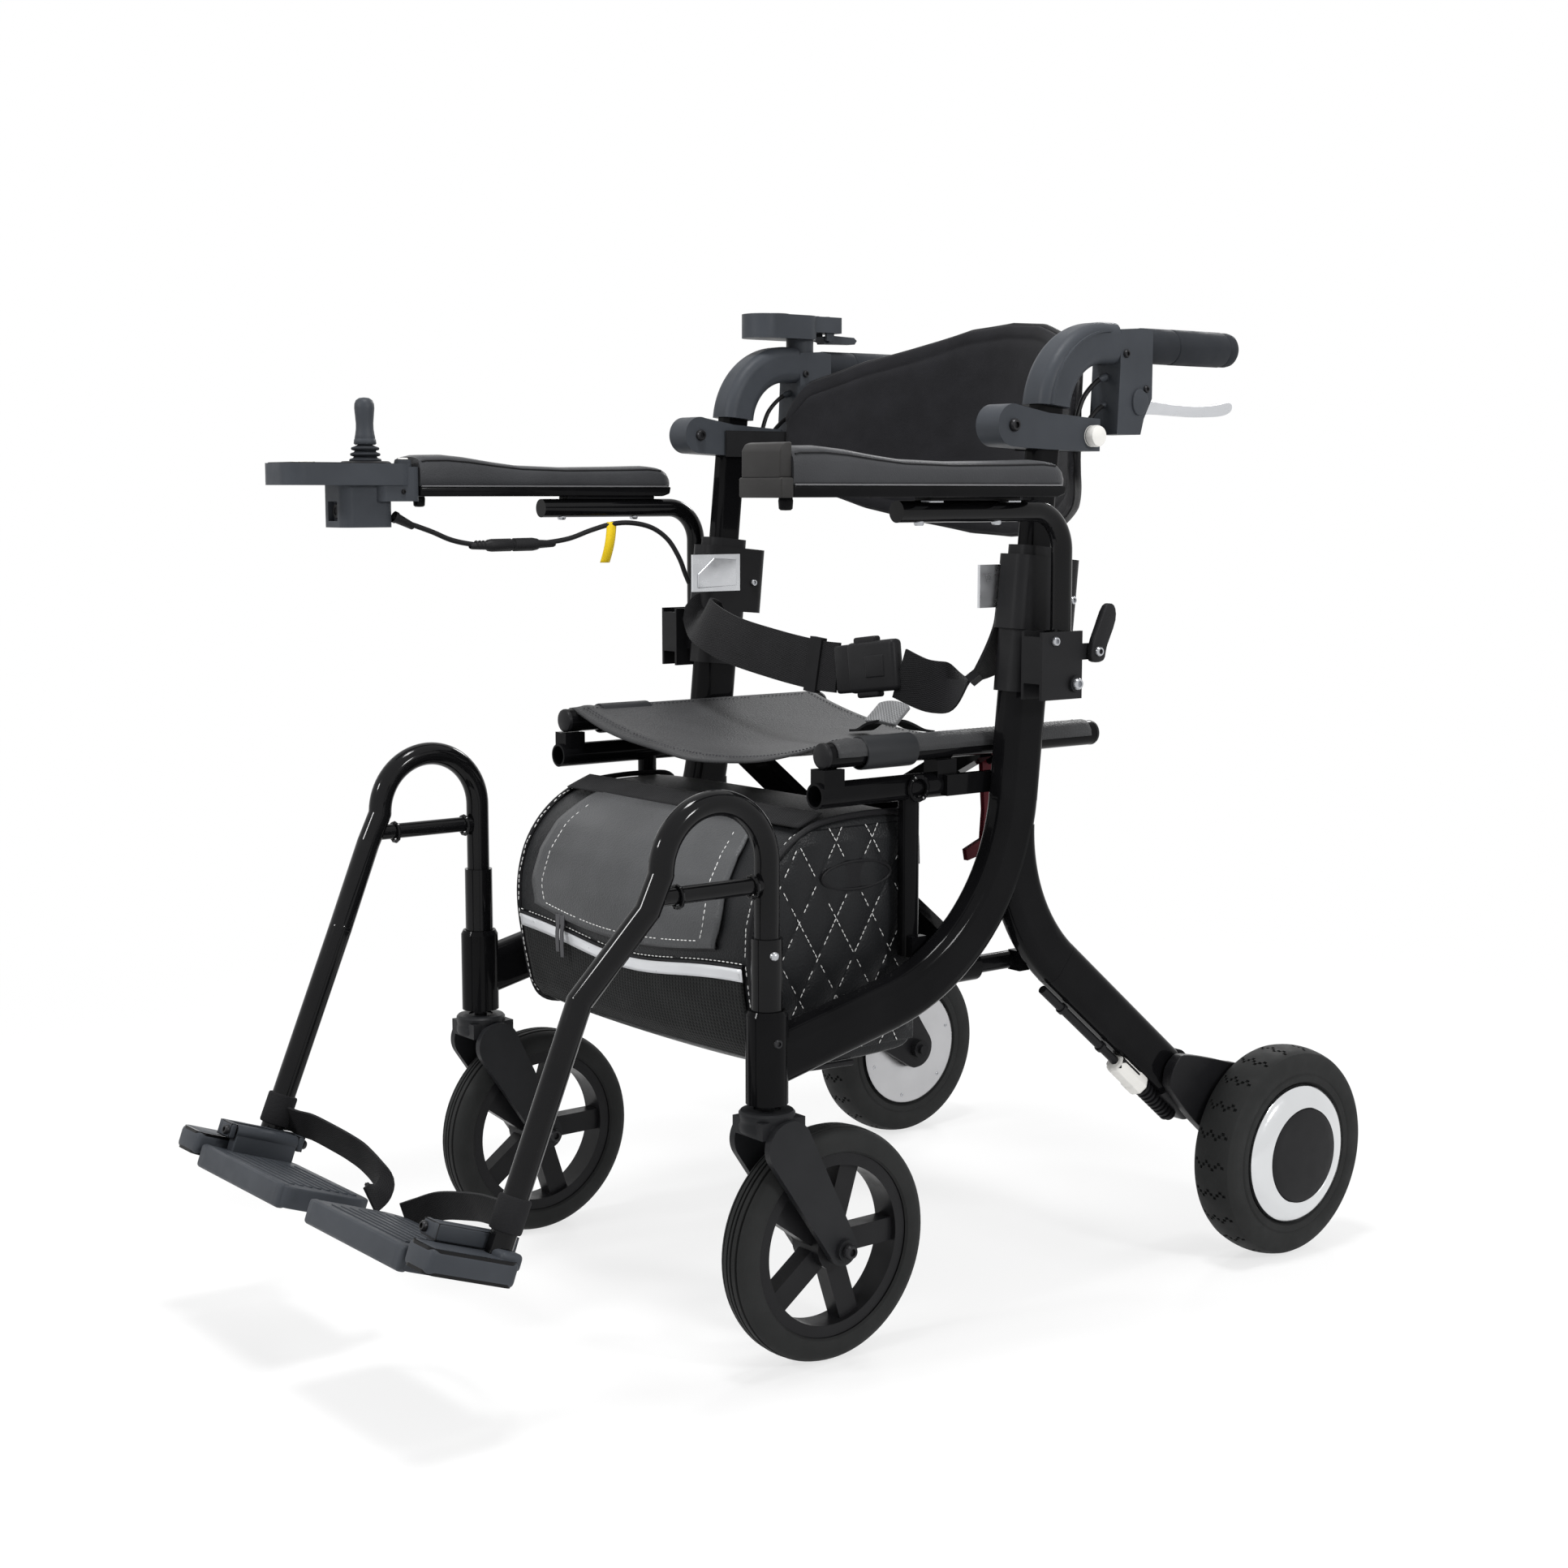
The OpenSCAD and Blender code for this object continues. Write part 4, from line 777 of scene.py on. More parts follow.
# Moulded fittings: height clamps, handle elbows with their brake housings, backrest arms, armrest
# brackets and levers; glass-filled nylon in dark slate, with a fine spark-eroded grain.
ELBOW_Y, ELBOW_Z, ELBOW_R = 121, 789, 72
slate_nylon = even_finish("slate_nylon", (0.041, 0.0455, 0.053), 0.42, spread=0.22, grain=2200.0,
                          depth=0.0001)
black_nylon = even_finish("black_nylon", (0.009, 0.009, 0.010), 0.42, spread=0.25, grain=2000.0,
                          depth=0.00008)
satin_silver = even_finish("satin_silver", (0.58, 0.59, 0.61), 0.30, 0.9, spread=0.06, grain=420.0,
                           depth=0.00002, streak=(1.0, 8.0, 8.0))
ivory_plastic = even_finish("ivory_plastic", (0.74, 0.73, 0.70), 0.38, spread=0.05, grain=1600.0,
                            depth=0.00004)
for side in ("left", "right"):
    for node in ("handle_elbow_", "back_arm_"):
        paint_node(node + side, slate_nylon)
    for node in ("height_clamp_", "arm_bracket_", "arm_latch_"):
        paint_node(node + side, black_nylon)
    paint_node("height_button_" + side, satin_silver)
paint_node("control_pod", slate_nylon)
paint_node("joystick_pod", slate_nylon)
paint_node("joystick_gimbal", black_nylon)
paint_node("battery_pack", black_nylon)
paint_node("thumb_lever", slate_nylon)
maroon_metal = even_finish("maroon_metal", (0.085, 0.006, 0.012), 0.36, 0.2, spread=0.3, grain=900.0,
                           depth=0.00005)
paint_node("fold_hook", maroon_metal)


def soften(form, verts, offset, segments):
    """Rounds all the edges of the given vertices."""
    bmesh.ops.bevel(form, geom=list({e for v in verts for e in v.link_edges}), offset=offset,
                    offset_type="OFFSET", segments=segments, profile=0.5, affect="EDGES",
                    clamp_overlap=True, material=-1)


def slab(form, outline, x0, x1, soft=0.0, segments=3):
    """A plate cut to an outline of (y, z) in millimetres, from x0 to x1, with softened edges."""
    corners = [form.verts.new(spot(x0, y, z)) for y, z in outline]
    tops = thicken(form, corners, ((x1 - x0) * 0.001, 0, 0))
    if soft:
        soften(form, corners + tops, soft * 0.001, segments)


def smooth_outline(points, steps=5):
    """A closed outline of (y, z) pairs, rounded through its points."""
    loop = [Vector((y, z, 0)) for y, z in points]
    line = curve_points(loop[-2:] + loop + loop[:2], steps)
    return [(p.x, p.y) for p in line[2 * steps:-steps - 1]]


for side, sign in SIDES:
    upper = "upper_" + side
    form = bmesh.new()
    for x, y, z, way, r in ((238, 8, 778, 1, 5.5), (210, 8, 778, -1, 5.5), (241, 140, 842, 1, 3.6),
                            (241, 166, 812, 1, 3.2), (207, 140, 842, -1, 3.6)):
        screw(form, spot(sign * x, y, z), (sign * way, 0, 0), r)
    piece("handle_screws_" + side, form, dark_screw, upper)
    turned("index_knob_" + side, [(0, 10.2), (6, 10), (8.6, 9), (9.4, 7), (9.4, 2), (8.8, 0.8), (9.4, 0)],
           spot(sign * 238, 102, 770), (sign, 0, 0), 28, ivory_plastic, upper)
    form = bmesh.new()
    ridge = []
    for k in range(22):
        a = math.radians(174 - 84 * k / 21)
        ridge.append(spot(sign * 241.2, ELBOW_Y + ELBOW_R * math.cos(a),
                          ELBOW_Z + ELBOW_R * math.sin(a)))
    sweep(form, flat_section(0.0022, 0.0009), stations_on(ridge, (1, 0, 0)))
    slab(form, smooth_outline([(156, 812), (165, 808), (168, 800), (164, 792), (155, 789), (149, 795),
                               (149, 806)], 4), sign * 239, sign * 243.2, 1.2)
    for y, z, r in ((129, 823, 3.4), (133, 800, 3.0)):
        lathe(form, [(0, 12), (r - 1.6, 12), (r - 1, 11.2), (r, 8), (r, -4)], spot(sign * SIDE_X, y + 6, z),
              (0, -1, -0.25), 18)
    piece("handle_trim_" + side, form, slate_nylon, upper)
    form = bmesh.new()
    for y, z in ((130, 822), (134, 799)):
        top = spot(sign * SIDE_X, y, z)
        line = curve_points([top, top + Vector((0, -0.012, -0.006)), top + Vector((0, -0.026, -0.020)),
                             top + Vector((0, -0.034, -0.040))], 5)
        sweep(form, round_section(2.2, 8), stations_on(line))
    piece("brake_cables_" + side, form, black_nylon, upper)

    form = bmesh.new()
    for x, y, z, way, r in ((207, 72, 630, -1, 3.6), (241, 78, 628, 1, 3.6), (241, 58, 590, 1, 3.2),
                            (276.5, 22, 596, 1, 4.2), (279.4, 46, 559, 1, 5.2), (283, 68, 586, 1, 4.4)):
        screw(form, spot(sign * x, y, z), (sign * way, 0, 0), r)
    piece("clamp_screws_" + side, form, screw_steel, side + "_side")
    form = bmesh.new()
    slab(form, [(2, 626), (50, 628), (50, 654), (22, 656), (2, 640)], sign * 206.2, sign * 208.4, 0.8)
    piece("button_face_" + side, form, satin_silver, "button_" + side)
    form = bmesh.new()
    slab(form, smooth_outline([(61, 578), (75, 578), (79, 590), (89, 612), (87, 625), (77, 625), (67, 606),
                               (61, 592)], 3), sign * 276.8, sign * 283.2, 1.4)
    lever = piece("release_lever_" + side, form, black_nylon, "latch_" + side)
    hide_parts("arm_latch_" + side)

# Grips: slip-on rubber handles, plain and slightly barrelled, with a ring groove near the front and a
# rounded end cap; they are pushed onto the handle tube.
GRIP_START, GRIP_Z = 174, 851
GRIP_PROFILE = [(11, 0), (15, 0.4), (15.6, 1.4), (15.8, 36), (15.7, 36.8), (15.1, 37.2), (15.1, 38.4),
                (15.7, 38.8), (15.9, 40), (16, 70), (15.9, 104), (15.6, 105), (15.2, 105.4), (15.2, 106.2),
                (15.6, 106.6), (15.6, 113), (14.9, 116.6), (13, 119), (9, 120), (0, 120)]
grip_rubber = even_finish("grip_rubber", (0.018, 0.020, 0.024), 0.62, spread=0.25, grain=1700.0,
                          depth=0.00015)
for side, sign in SIDES:
    grip = turned("rubber_grip_" + side, GRIP_PROFILE, spot(sign * SIDE_X, GRIP_START, GRIP_Z), (0, 1, 0), 40,
                  grip_rubber, "upper_" + side, 50)
    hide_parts("grip_" + side)

# Brake levers: pale die-cast levers under the grips, pivoted in the housings and curved for the
# fingers, with a stop at the tip.
LEVER_LINE = [(158, 804), (172, 804), (192, 801.5), (220, 799.5), (250, 799), (274, 801), (288, 803.5),
              (294, 801), (292, 795), (280, 791), (256, 789.5), (226, 790), (196, 791), (172, 790),
              (159, 791)]
for side, sign in SIDES:
    form = bmesh.new()
    slab(form, smooth_outline(LEVER_LINE, 4), sign * 218.2, sign * 229.8, 2.6, 4)
    lever = piece("brake_handle_" + side, form, satin_silver, "brake_" + side)
    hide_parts("brake_lever_" + side)

# Helper's pod: an oval speed dial housing on a post at the right handle, with a square tail over
# the thumb lever; two soft buttons sit on top.
POD_Y, POD_Z = 112, 887
dial_at = spot(-SIDE_X, POD_Y, POD_Z)
form = bmesh.new()
lathe(form, [(0, 14.8), (11, 14.8), (12, 14.2), (12.6, 13), (12.6, 0)], dial_at, (0, 0, 1), 40)
lathe(form, [(14.4, 14), (14.8, 15), (16.2, 15), (16.6, 14)], dial_at, (0, 0, 1), 40)
piece("pod_dial", form, black_nylon, "upper_right")
form = bmesh.new()
for y in (168, 182):
    lathe(form, [(0, 15.6), (3, 15.4), (4.2, 14.8), (4.4, 13)], spot(-SIDE_X, y, POD_Z), (0, 0, 1), 24)
piece("pod_buttons", form, grip_rubber, "upper_right")

# Motor leads and end castings: a rounded casting joins each rear leg to its axle, and the lead runs
# under the leg through a pale plug into a ribbed boot.
LEAD_Y, LEAD_Z, LEAD_SLOPE = 64.8, 281.0, math.radians(40)
CASTING_LINE = [(345.8, 84.2), (352.4, 100), (345.8, 115.8), (305.8, 175.8), (286, 186.2), (231, 201),
                (216, 198.6), (205.8, 181), (212, 166.6), (254.2, 124.2), (314.2, 84.2), (330, 77.6)]


def along_lead(sign, t, drop=0.0):
    """A point along the motor lead, t and drop in millimetres."""
    level, steep = math.cos(LEAD_SLOPE), math.sin(LEAD_SLOPE)
    return spot(sign * SIDE_X, LEAD_Y + t * level - drop * steep, LEAD_Z - t * steep - drop * level)


for side, sign in SIDES:
    form = bmesh.new()
    slab(form, smooth_outline(CASTING_LINE, 4), sign * 240.8, sign * 251.4, 3.6, 4)
    way = (0, math.cos(LEAD_SLOPE), -math.sin(LEAD_SLOPE))
    for k in range(9):
        lathe(form, [(5.8, 0), (8.2, 0.6), (8.4, 3.0), (5.8, 3.8)], along_lead(sign, 170 + 5.6 * k), way,
              24)
    for t in (30, 96):
        lathe(form, [(4.2, 0), (5.2, 0.4), (5.2, 4.6), (4.2, 5)], along_lead(sign, t), way, 20)
    piece("axle_casting_" + side, form, bracket_black, side + "_side")
    form = bmesh.new()
    lathe(form, [(0, -22.4), (7, -22.4), (9.6, -20.8), (10.6, -17), (10.6, 6), (11.6, 8), (11.6, 18),
                 (10.4, 20.6), (7.5, 21.4)], along_lead(sign, 146, 1.0), way, 8)
    soften(form, form.verts, 0.0006, 2)
    piece("motor_plug_" + side, form, ivory_plastic, side + "_side", 30)
    form = bmesh.new()
    for x, y, z, way, r in ((241.2, 222, 178, 1, 4.6), (240.6, 330, 100, -1, 9.0),
                            (240.6, 302, 122, -1, 6.0)):
        screw(form, spot(sign * x, y, z), (sign * way, 0, 0), r)
    screw(form, spot(sign * 240.2, -249, 281), (sign, -0.1 * sign, 0), 4.0)
    piece("leg_bolts_" + side, form, dark_screw, side + "_side")
    turned("legrest_snap_" + side, [(0, 3), (2.4, 2.6), (3.8, 1.2), (4, -1)],
           spot(sign * 236.8, -249, 352), (sign, 0, 0), 20, screw_steel, "legrest_" + side)

# Backrest: one padded band of dark woven cloth between the two arms, bowed back by the load, with a
# seam line inside its piped edge; webbing straps hold its ends to the arms.
BACK_HALF, BACK_EDGE, BACK_KEEP = 205.0, 0.208, 0.54
BACK_TOP = [(0, 883), (50, 879), (100, 865), (150, 850), (190, 831), (200, 811), (206, 790)]
BACK_LOW = [(0, 681), (50, 684), (100, 694), (150, 709), (190, 729), (200, 737), (206, 752)]
back_cloth = woven_finish("back_cloth", (0.0150, 0.0150, 0.0175), 0.0016, 0.0016, 0.78, 0.00025, 1.9)
strap_cloth = woven_finish("strap_cloth", (0.009, 0.009, 0.010), 0.0021, 0.0034, 0.8, 0.0003, 2.0)


def between(table, at):
    """Reads a table of (place, value) pairs, straight between its rows."""
    for (a, low), (b, high) in zip(table, table[1:]):
        if at <= b:
            return low + (high - low) * (at - a) / (b - a)
    return table[-1][1]


def back_point(x, share, proud=0.0):
    """A point on the bowed band, share from its lower to its upper edge."""
    low, high = between(BACK_LOW, abs(x)), between(BACK_TOP, abs(x))
    y = 113 + 120 * (1 - (x / 206.5) ** 2) - proud
    return spot(x, y, low + (high - low) * share)


def back_place(u, v):
    """The padded band, with a seam sunk inside its edge and faint pulls."""
    x = BACK_HALF * (2 * u - 1)
    tall = between(BACK_TOP, abs(x)) - between(BACK_LOW, abs(x))
    edge = min(tall * min(v, 1 - v), 1.32 * (BACK_HALF - abs(x)))
    swell = 3.4 * (1 - math.exp(-edge / 7)) - 2.2 * math.exp(-((edge - 13) / 2.6) ** 2)
    return back_point(x, v, swell + 0.7 * math.sin(x / 19.0) * math.exp(-edge / 30)
                      + 0.6 * math.sin(x / 31 + v * 5))


backrest = panel("backrest_band", 96, 48, back_place, back_cloth, 6.0, "upper_left", (0.47, 0.20))
rounded = backrest.modifiers.new("soft", "SUBSURF")
rounded.levels = 1
rounded.render_levels = 1
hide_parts("backrest_sling")
form = bmesh.new()
rim = [back_point(BACK_HALF * (k / 40 - 1), 0.0, -3.0) for k in range(81)]
rim += [back_point(BACK_HALF, k / 12, -3.0) for k in range(1, 12)]
rim += [back_point(BACK_HALF * (1 - k / 40), 1.0, -3.0) for k in range(81)]
rim += [back_point(-BACK_HALF, 1 - k / 12, -3.0) for k in range(1, 12)]
sweep(form, round_section(3.4, 10), stations_on(rim), closed=True)
back_piping = piece("backrest_piping", form, piping_vinyl, "upper_left")
form = bmesh.new()
for share in (0.072, 0.928):
    row = [back_point(BACK_HALF * 0.93 * (k / 60 - 1), share, 2.2) for k in range(121)]
    stitch_row(form, row, (0, -1, 0), 2.6, 1.8, 0.4)
for x in (-0.93 * BACK_HALF, 0.93 * BACK_HALF):
    row = [back_point(x, 0.09 + 0.82 * k / 20, 2.2) for k in range(21)]
    stitch_row(form, row, (0, -1, 0), 2.6, 1.8, 0.45)
dark_thread = even_finish("dark_thread", (0.05, 0.05, 0.055), 0.7, spread=0.3, grain=2600.0, depth=0.00005)
grey_thread = even_finish("grey_thread", (0.15, 0.15, 0.155), 0.7, spread=0.3, grain=2600.0, depth=0.00005)
back_thread = piece("backrest_stitches", form, grey_thread, "upper_left")
form = bmesh.new()
for sign in (1, -1):
    line = line_through(((207.4, 38, 770), (207.4, 62, 770), (207.2, 92, 770), (205.4, 112, 770),
                         (200, 124, 771)), 8, sign)
    sweep(form, flat_section(0.0011, 0.013), stations_on(line, (1, 0, 0)))
back_straps = piece("backrest_straps", form, strap_cloth, "upper_left")
for made in (backrest, back_piping, back_thread, back_straps):
    with_fold(made)

# Seat: a vinyl sling slung between the two seat tubes and folded round them, with a wavy front hem;
# a silver tab on a black strap in its middle is pulled to fold the chair.
SEAT_X, SEAT_Z, SEAT_SAG, SEAT_ROLL, SEAT_FLAT = 195.0, 504.0, 30.0, 13, 0.92
seat_vinyl = leather_finish("seat_vinyl", (0.034, 0.0345, 0.036), 0.46, 560.0, 0.0003)


def seat_point(s, y, proud=0.0):
    """A point across the sling, s from -1 to 1; past SEAT_FLAT it goes round the tube."""
    if abs(s) < SEAT_FLAT:
        x = SEAT_X * s / SEAT_FLAT
        sag = SEAT_SAG * (1 - (x / SEAT_X) ** 2)
        return spot(x, y, SEAT_Z + SEAT_ROLL - sag + proud)
    turn = math.radians(90 - 95 * (abs(s) - SEAT_FLAT) / (1 - SEAT_FLAT))
    r = SEAT_ROLL + proud
    return spot(math.copysign(SEAT_X + r * math.cos(turn), s), y, SEAT_Z + r * math.sin(turn))


def seat_place(u, v):
    """The sling with its wavy front, turned hem and slack folds."""
    s = 2 * u - 1
    front = -158 + 5 * (1 - math.cos(3 * math.pi * s)) * (1 - abs(s))
    y = front + (139 - front) * v
    fold = 1.44 * math.sin(s * 9 + v * 3) * math.sin(math.pi * v) * (1 - s * s)
    hem = -3.0 * math.exp(-v / 0.03) * (1 - abs(s) ** 4) + 1.2 * math.exp(-((v - 0.06) / 0.018) ** 2)
    return seat_point(s, y, fold + hem)


seat = panel("seat_cloth", 96, 72, seat_place, seat_vinyl, -2.2, None, (0.444, 0.30))
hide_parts("seat_sling")
form = bmesh.new()
for y in (-147, -143, 131):
    row = [seat_point(0.9 * (k / 60 - 1), y, 0.6) for k in range(121)]
    stitch_row(form, row, (0, 0, 1), 3.0, 2.0, 0.45)
for s in (0.885, -0.885):
    row = [seat_point(s, -150 + 280 * k / 60, 0.8) for k in range(61)]
    stitch_row(form, row, (0, 0, 1), 3.0, 2.0, 0.45)
seat_thread = piece("seat_stitches", form, dark_thread, None)
form = bmesh.new()
line = line_through(((-4, 128, 491), (-3, 112, 494), (0, 94, 501), (2, 80, 505), (2, 66, 505)), 8)
sweep(form, flat_section(0.0012, 0.0115), stations_on(line, (0, 0, 1)))
line = line_through(((-44, 74, 492), (-30, 72, 494), (-14, 70, 501), (2, 70, 505)), 8)
sweep(form, flat_section(0.0012, 0.0095), stations_on(line, (0, 0, 1)))
pull_strap = piece("pull_strap", form, strap_cloth, None)
tab_silver = woven_finish("tab_silver", (0.36, 0.365, 0.375), 0.0040, 0.0040, 0.42, 0.0006, 1.5)


def tab_place(u, v):
    """The pull tab, standing at a slant on its strap."""
    half = 15 * (1 - 0.12 * (2 * u - 1) ** 4)
    rise = 2.4 * math.sin(math.pi * u)
    return spot(-21 + 44 * u, 72 + half * 0.72 * (2 * v - 1), 512 + half * 0.62 * (2 * v - 1) + rise)


pull_tab = panel("pull_tab", 24, 16, tab_place, tab_silver, -5.0, None, (0.044, 0.030))
edge = pull_tab.modifiers.new("edge", "BEVEL")
edge.width = 0.0014
edge.segments = 3
edge.profile = 0.5
edge.affect = "EDGES"
edge.material = -1
clip_grey = even_finish("clip_grey", (0.020, 0.021, 0.023), 0.4, spread=0.15, grain=1500.0, depth=0.00006)
for side, sign, body in (("left", 1, "cross_b"), ("right", -1, "cross_a")):
    turned("seat_clip_" + side, [(13.2, 0), (14.2, 0.4), (14.4, 1.6), (14.4, 55), (14.2, 56.4),
                                 (13.2, 57)], spot(sign * SEAT_X, -127, SEAT_Z), (0, 1, 0), 40, clip_grey,
           body)
    form = bmesh.new()
    for y, way in ((-165, -1), (149, 1)):
        lathe(form, [(0, 3.4), (8, 3.2), (10.6, 2.2), (11.2, 0.8), (11.2, -1)],
              spot(sign * SEAT_X, y, SEAT_Z), (0, way, 0), 32)
    piece("seat_caps_" + side, form, black_nylon, body)
for made in (seat, seat_thread, pull_strap, pull_tab):
    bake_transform(made)

# Lap belt: two lengths of black webbing from the posts, lying across the seat's back, with a
# squeeze buckle; each length runs through a keeper loop.
belt_cloth = woven_finish("belt_cloth", (0.008, 0.008, 0.009), 0.0019, 0.0040, 0.72, 0.0004, 2.0)


def ribbon(form, points, wide, thick, out):
    """Flat webbing along a line; out gives the way its face looks at the start and at the end."""
    stations = []
    for i, p in enumerate(points):
        along = points[min(i + 1, len(points) - 1)] - points[max(i - 1, 0)]
        face = Vector(out[0]).lerp(Vector(out[1]), i / (len(points) - 1))
        stations.append(facing(p, along, face))
    half, deep = wide * 0.0005, thick * 0.0005
    rings = sweep(form, [(deep, half), (deep, half * 0.33), (deep, -half * 0.33), (deep, -half),
                         (-deep, -half), (-deep, -half * 0.33), (-deep, half * 0.33), (-deep, half)],
                  stations)
    chart = form.loops.layers.uv.verify()
    far, runs = {}, 0.0
    for k, ring in enumerate(rings):
        runs += (points[k] - points[k - 1]).length if k else 0.0
        for vert in ring:
            local = stations[k].inverted() @ vert.co
            far[vert] = (local.y, runs)
    for face in form.faces:
        for loop in face.loops:
            if loop.vert in far:
                loop[chart].uv = far[loop.vert]


belt_left = line_through(((204, 46, 616), (202.5, 38, 596), (196, 22, 572), (180, 4, 554), (156, -12, 552),
                          (125, -20, 562)), 10)
belt_right = line_through(((-213, 27, 600), (-204, 6, 599), (-178, -13, 594), (-124, -20, 580),
                           (-48, -22, 569), (10, -22, 563), (42, -22, 562)), 10)
form = bmesh.new()
ribbon(form, belt_left, 46, 2.4, ((-1, 0.1, 0.0), (-0.1, -1, 0.1)))
ribbon(form, belt_right, 46, 2.4, ((0.6, -0.8, 0.1), (0, -1, 0.1)))
belt = piece("belt_webbing", form, belt_cloth, "left_side")
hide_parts("seat_belt")
tilt = Matrix.Translation(spot(83, -21, 565)) @ Matrix.Rotation(math.radians(-7), 4, "Y")


def belt_block(form, x0, x1, y0, y1, z0, z1, soft):
    """A softened block in the buckle's own tilted frame, in millimetres."""
    at = Matrix.Translation(Vector((x0 + x1, y0 + y1, z0 + z1)) * 0.0005)
    size = Matrix.Diagonal(Vector((x1 - x0, y1 - y0, z1 - z0, 1000)) * 0.001)
    made = bmesh.ops.create_cube(form, size=1.0, matrix=tilt @ at @ size)["verts"]
    soften(form, made, soft * 0.001, 4)


form = bmesh.new()
belt_block(form, -22, 42, -7, 7, -23, 23, 4.5)
belt_block(form, -42, -19, -5, 5, -22, 22, 3.0)
for z in (-23.5, 23.5):
    belt_block(form, -14, 16, -4.4, 4.4, z - 4, z + 4, 2.4)
belt_block(form, 4, 30, -7.8, -5, -10, 10, 1.3)
buckle = piece("belt_buckle", form, black_nylon, "left_side")
form = bmesh.new()
for line, at, face in ((belt_left, 24, (-0.7, -0.6, 0.2)), (belt_right, 48, (0, -1, 0.1))):
    p, q = line[at], line[at + 1]
    sweep(form, flat_section(0.0034, 0.0255), [facing(p + (q - p) * (k * 1.1), q - p, face)
                                               for k in range(4)])
keepers = piece("belt_keepers", form, strap_cloth, "left_side")
for made in (belt, buckle, keepers):
    with_fold(made)

# Armrests: foam pads under smooth vinyl on gloss trays, high in front with a dip for the forearm;
# the left one ends in a square nose, the right one carries the controller.
PAD_X, PAD_BASE, PAD_REAR, PAD_FRONT, PAD_HALF = 280, 727, 5, -285, 26.4
PAD_TOP = [(-285, 27.5), (-278, 29.5), (-254, 30), (-230, 28), (-202, 24), (-172, 20.5), (-120, 19),
           (-60, 20), (-22, 21), (-8, 19.5), (0, 16), (5, 10)]
pad_vinyl = leather_finish("pad_vinyl", (0.036, 0.037, 0.040), 0.36, 700.0, 0.00012)
nose_plastic = even_finish("nose_plastic", (0.026, 0.025, 0.0245), 0.46, spread=0.2, grain=1800.0,
                           depth=0.00008)
# A pale grey painted highlight, standing in for the light reflected along the trays' lips.
lip_highlight = even_finish("lip_highlight", (0.13, 0.13, 0.135), 0.3, spread=0.2, grain=1500.0, depth=0.00003)
gloss_nylon = even_finish("gloss_nylon", (0.004, 0.004, 0.0045), 0.22, spread=0.2, grain=900.0,
                          depth=0.00002, Specular_IOR_Level=0.03, Coat_Weight=0.06)
PAD_SECTION = [(0.0, -0.93), (0.06, -0.98), (0.30, -1.0), (0.60, -0.985), (0.74, -0.955), (0.79, -0.905),
               (0.83, -0.90), (0.90, -0.85), (0.97, -0.62), (1.0, -0.3)]
for side, sign in SIDES:
    arm = "armrest_" + side
    form = bmesh.new()
    stations = []
    for k in range(73):
        y = PAD_FRONT + (PAD_REAR - PAD_FRONT) * k / 72
        narrow = 1.0 - 0.22 * max(0.0, (y + 14) / 19) ** 3
        size = Matrix.Diagonal((between(PAD_TOP, y) * 0.001, PAD_HALF * 0.001 * narrow, 1.0, 1.0))
        stations.append(facing(spot(sign * PAD_X, y, PAD_BASE), (0, 1, 0), (0, 0, 1)) @ size)
    sweep(form, PAD_SECTION + [(a, -b) for a, b in reversed(PAD_SECTION)], stations)
    cushion = piece("arm_cushion_" + side, form, pad_vinyl, arm, 50)
    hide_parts("arm_pad_" + side)
    form = bmesh.new()
    for b in (-0.915, 0.915):
        line = []
        for k in range(70):
            y = PAD_FRONT + 3 + (PAD_REAR - PAD_FRONT - 16) * k / 69
            line.append(spot(sign * PAD_X + PAD_HALF * b, y, PAD_BASE + 0.815 * between(PAD_TOP, y)))
        sweep(form, round_section(0.75, 8), stations_on(line))
    piece("arm_welt_" + side, form, piping_vinyl, arm)
    form = bmesh.new()
    slab(form, [(PAD_FRONT, 717.5), (-6, 717.5), (2, 720), (3.5, 727), (PAD_FRONT, 727)], sign * 253.6,
         sign * 306.4, 1.6)
    slab(form, [(-120, 714.6), (-16, 714.6), (-16, 718), (-120, 718)], sign * 256, sign * 272, 0.8)
    lathe(form, [(0, 10.4), (4, 10.2), (5.4, 9), (5.8, 3), (5.2, 0)],
          spot(sign * PAD_X, PAD_FRONT + 13, 718), (0, 0, -1), 24)
    piece("arm_tray_" + side, form, gloss_nylon, arm)
    # Painted highlight: thin pale grey rods along the foot of each pad, standing in for the light reflected
    # along the tray's lip.
    form = bmesh.new()
    for x in (-26.5, 26.5):
        reach = PAD_REAR - PAD_FRONT - 8
        line = [spot(sign * PAD_X + x, PAD_FRONT + 1 + reach * k / 20, PAD_BASE + 0.2) for k in range(21)]
        sweep(form, round_section(0.7, 8), stations_on(line))
    piece("arm_lip_highlight_" + side, form, lip_highlight, arm)
    if side == "left":
        form = bmesh.new()
        slab(form, [(-296.6, 732), (-296.4, 753), (-293, 758), (-288, 759), (-284.6, 759), (-284.6, 732)],
             256, 304, 2.4, 4)
        slab(form, [(-297.2, 717.2), (-297.2, 732.6), (-284.6, 732.6), (-284.6, 717.2)], 253.6, 306.4, 1.8,
             4)
        piece("arm_nose", form, nose_plastic, arm)
    form = bmesh.new()
    for y in (-122, -36):
        slab(form, [(y - 7, 713.2), (y + 7, 713.2), (y + 7, 715), (y - 7, 715)], sign * 274, sign * 286,
             0.4)
        screw(form, spot(sign * 264, y, 697.6), (0, 0, -1), 4.2)
    piece("arm_tabs_" + side, form, screw_steel, arm)

